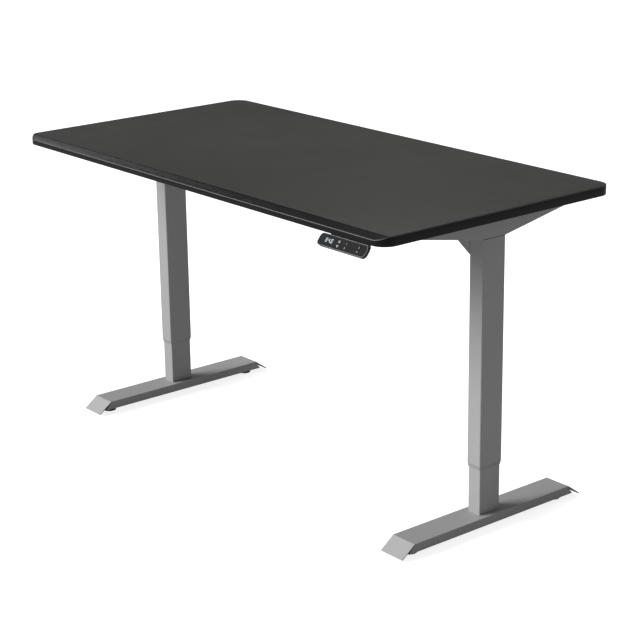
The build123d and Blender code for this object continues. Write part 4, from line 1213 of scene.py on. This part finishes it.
# %% Motor ends
CAP_THICK = 0.0016
CAP_WIDTH = 0.97
CAP_LIFT = 0.6
CAP_STEPS = ((0.10, 0.0), (0.04, -0.0009), (0.30, 0.0), (0.05, 0.0022), (0.12, 0.0), (0.03, -0.0012))
TIE_RADIUS = 0.0026
TIE_LENGTH = 0.0022
TIE_ROUND = 0.0006
TIE_PROUD = 0.0006
TIE_REACH = 0.72


def make_motor_cap(side):
    """A stamped end cap on the motor's free end."""
    low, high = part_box(f"motor_case_{side}")
    way = 1 if side == "left" else -1
    end_x = high.x if side == "left" else low.x
    y, z, radius = (low.y + high.y) / 2, (low.z + high.z) / 2, (high.z - low.z) / 2
    start = end_x - CAP_THICK * (1 if way > 0 else CAP_LIFT)
    length = CAP_THICK * (1 + CAP_LIFT if way > 0 else 1)
    cap = rod(f"motor_cap_{side}", radius * CAP_WIDTH, (start, y, z), length, axis="X", vertices=48)
    choose(cap, "FACE", faces_towards((way, 0, 0)))
    for width, push in CAP_STEPS:
        bpy.ops.mesh.inset(thickness=radius * width, depth=push)
    close(cap)
    bolts = []
    for step in (-1, 1):
        bolt = rod("tie_screw", TIE_RADIUS, (0, 0, 0), TIE_LENGTH, axis="X", vertices=20)
        choose(bolt, "EDGE", sharp())
        bpy.ops.mesh.bevel(offset=TIE_ROUND, segments=2, affect="EDGES")
        close(bolt)
        bolt_x = end_x + way * TIE_PROUD - (0 if way > 0 else TIE_LENGTH / 2)
        bolt.data.transform(Matrix.Translation((bolt_x, y + step * radius * TIE_REACH, z)))
        bolts.append(bolt)
    return join([cap, *bolts], f"motor_cap_{side}")


for side in SIDES:
    belongs(make_motor_cap(side), "upper", "motor_steel", can)
print("motor caps from", round(CAP_THICK * 1000, 1), "mm sheet")

# %% [markdown]
# ## Column shadow strips
#
# Where the side bracket sits on the outer tube there is a thin shadow gap. A near-black ring is put in it,
# a painted shadow. It is a low slab with the tube's rounded corners, a hair proud of it, and
# opened into a ring like the handset's rim.

# %% Column shadow strips
SHADOW_STRIP_HALF = 0.0007
SHADOW_STRIP_PROUD = 0.00015
SHADOW_STRIP_WIDTH = 0.0045
TUBE_CORNER = 0.003
# painted shadow: a near-black finish for the strip in the bracket joint
joint_shadow_dark = finish("painted_joint_shadow", (0.012, 0.012, 0.012), (0.03, 0.03, 0.03), 0.7, variation=0.2, patch=60.0,
                specks=0.6, relief=1500.0)


def make_shadow_strip(side):
    """A thin near-black ring on the outer tube's head: a painted shadow of the joint."""
    low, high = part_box(f"outer_tube_{side}")
    proud = Vector((SHADOW_STRIP_PROUD, SHADOW_STRIP_PROUD, 0))
    shadow_strip = block(f"column_shadow_strip_{side}", Vector((low.x, low.y, high.z - SHADOW_STRIP_HALF)) - proud,
                   Vector((high.x, high.y, high.z + SHADOW_STRIP_HALF)) + proud)
    choose(shadow_strip, "EDGE", upright)
    bpy.ops.mesh.bevel(offset=TUBE_CORNER, segments=5, affect="EDGES")
    bpy.ops.object.mode_set(mode="OBJECT")
    return hollow(shadow_strip, SHADOW_STRIP_WIDTH)


for side in SIDES:
    belongs(make_shadow_strip(side), "upper", "black_socket_plastic", joint_shadow_dark)
print("shadow_strips", round(SHADOW_STRIP_HALF * 2000, 1), "mm high")

# %% [markdown]
# ## Weld stitches
#
# Under each foot the channel is welded to the top plate in short stitches. A stitch is a row of small
# overlapping puddles of metal, so one flattened ball is copied along its line, a little unevenly.

# %% Weld stitches
STITCH_LENGTH = 0.026
PUDDLE_STEP = 0.0022
PUDDLE_RADIUS = 0.0017
PUDDLE_SQUASH = 0.75
PUDDLE_DRIFT = 0.0002
STITCHES = (-0.20, -0.08, 0.08, 0.20)
weld_metal = finish("weld_coat", scaled(SILVER_TONE, 0.92), SILVER_EDGE, 0.42, variation=0.10, patch=60.0,
                    specks=0.8, relief=1200.0, depth=0.00004, edge_radius=0.0004)
torch = random.Random(5)


def make_stitches(side):
    """Weld stitches along both sides of a foot's channel, where it meets the top plate."""
    rail_low, rail_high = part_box(f"foot_rail_{side}")
    puddle = begin("uv_sphere", "puddle", segments=10, ring_count=6, radius=PUDDLE_RADIUS)
    choose(puddle, "FACE", lambda face: True)
    bpy.ops.transform.resize(value=(PUDDLE_SQUASH, 1.0, PUDDLE_SQUASH), center_override=(0, 0, 0))
    close(puddle, 60)
    places = []
    for x in (rail_low.x, rail_high.x):
        for middle in STITCHES:
            start = LEG_Y + middle - STITCH_LENGTH / 2
            for i in range(int(STITCH_LENGTH / PUDDLE_STEP)):
                y = start + i * PUDDLE_STEP + torch.uniform(-PUDDLE_DRIFT, PUDDLE_DRIFT)
                size = torch.uniform(0.9, 1.1)
                places.append(Matrix.Translation((x, y, rail_high.z)) @ Matrix.Scale(size, 4))
    return copies(puddle, f"foot_welds_{side}", places)


for side in SIDES:
    belongs(make_stitches(side), "base", "silver_powder_coat", weld_metal)
print(len(STITCHES) * 4, "weld stitches")
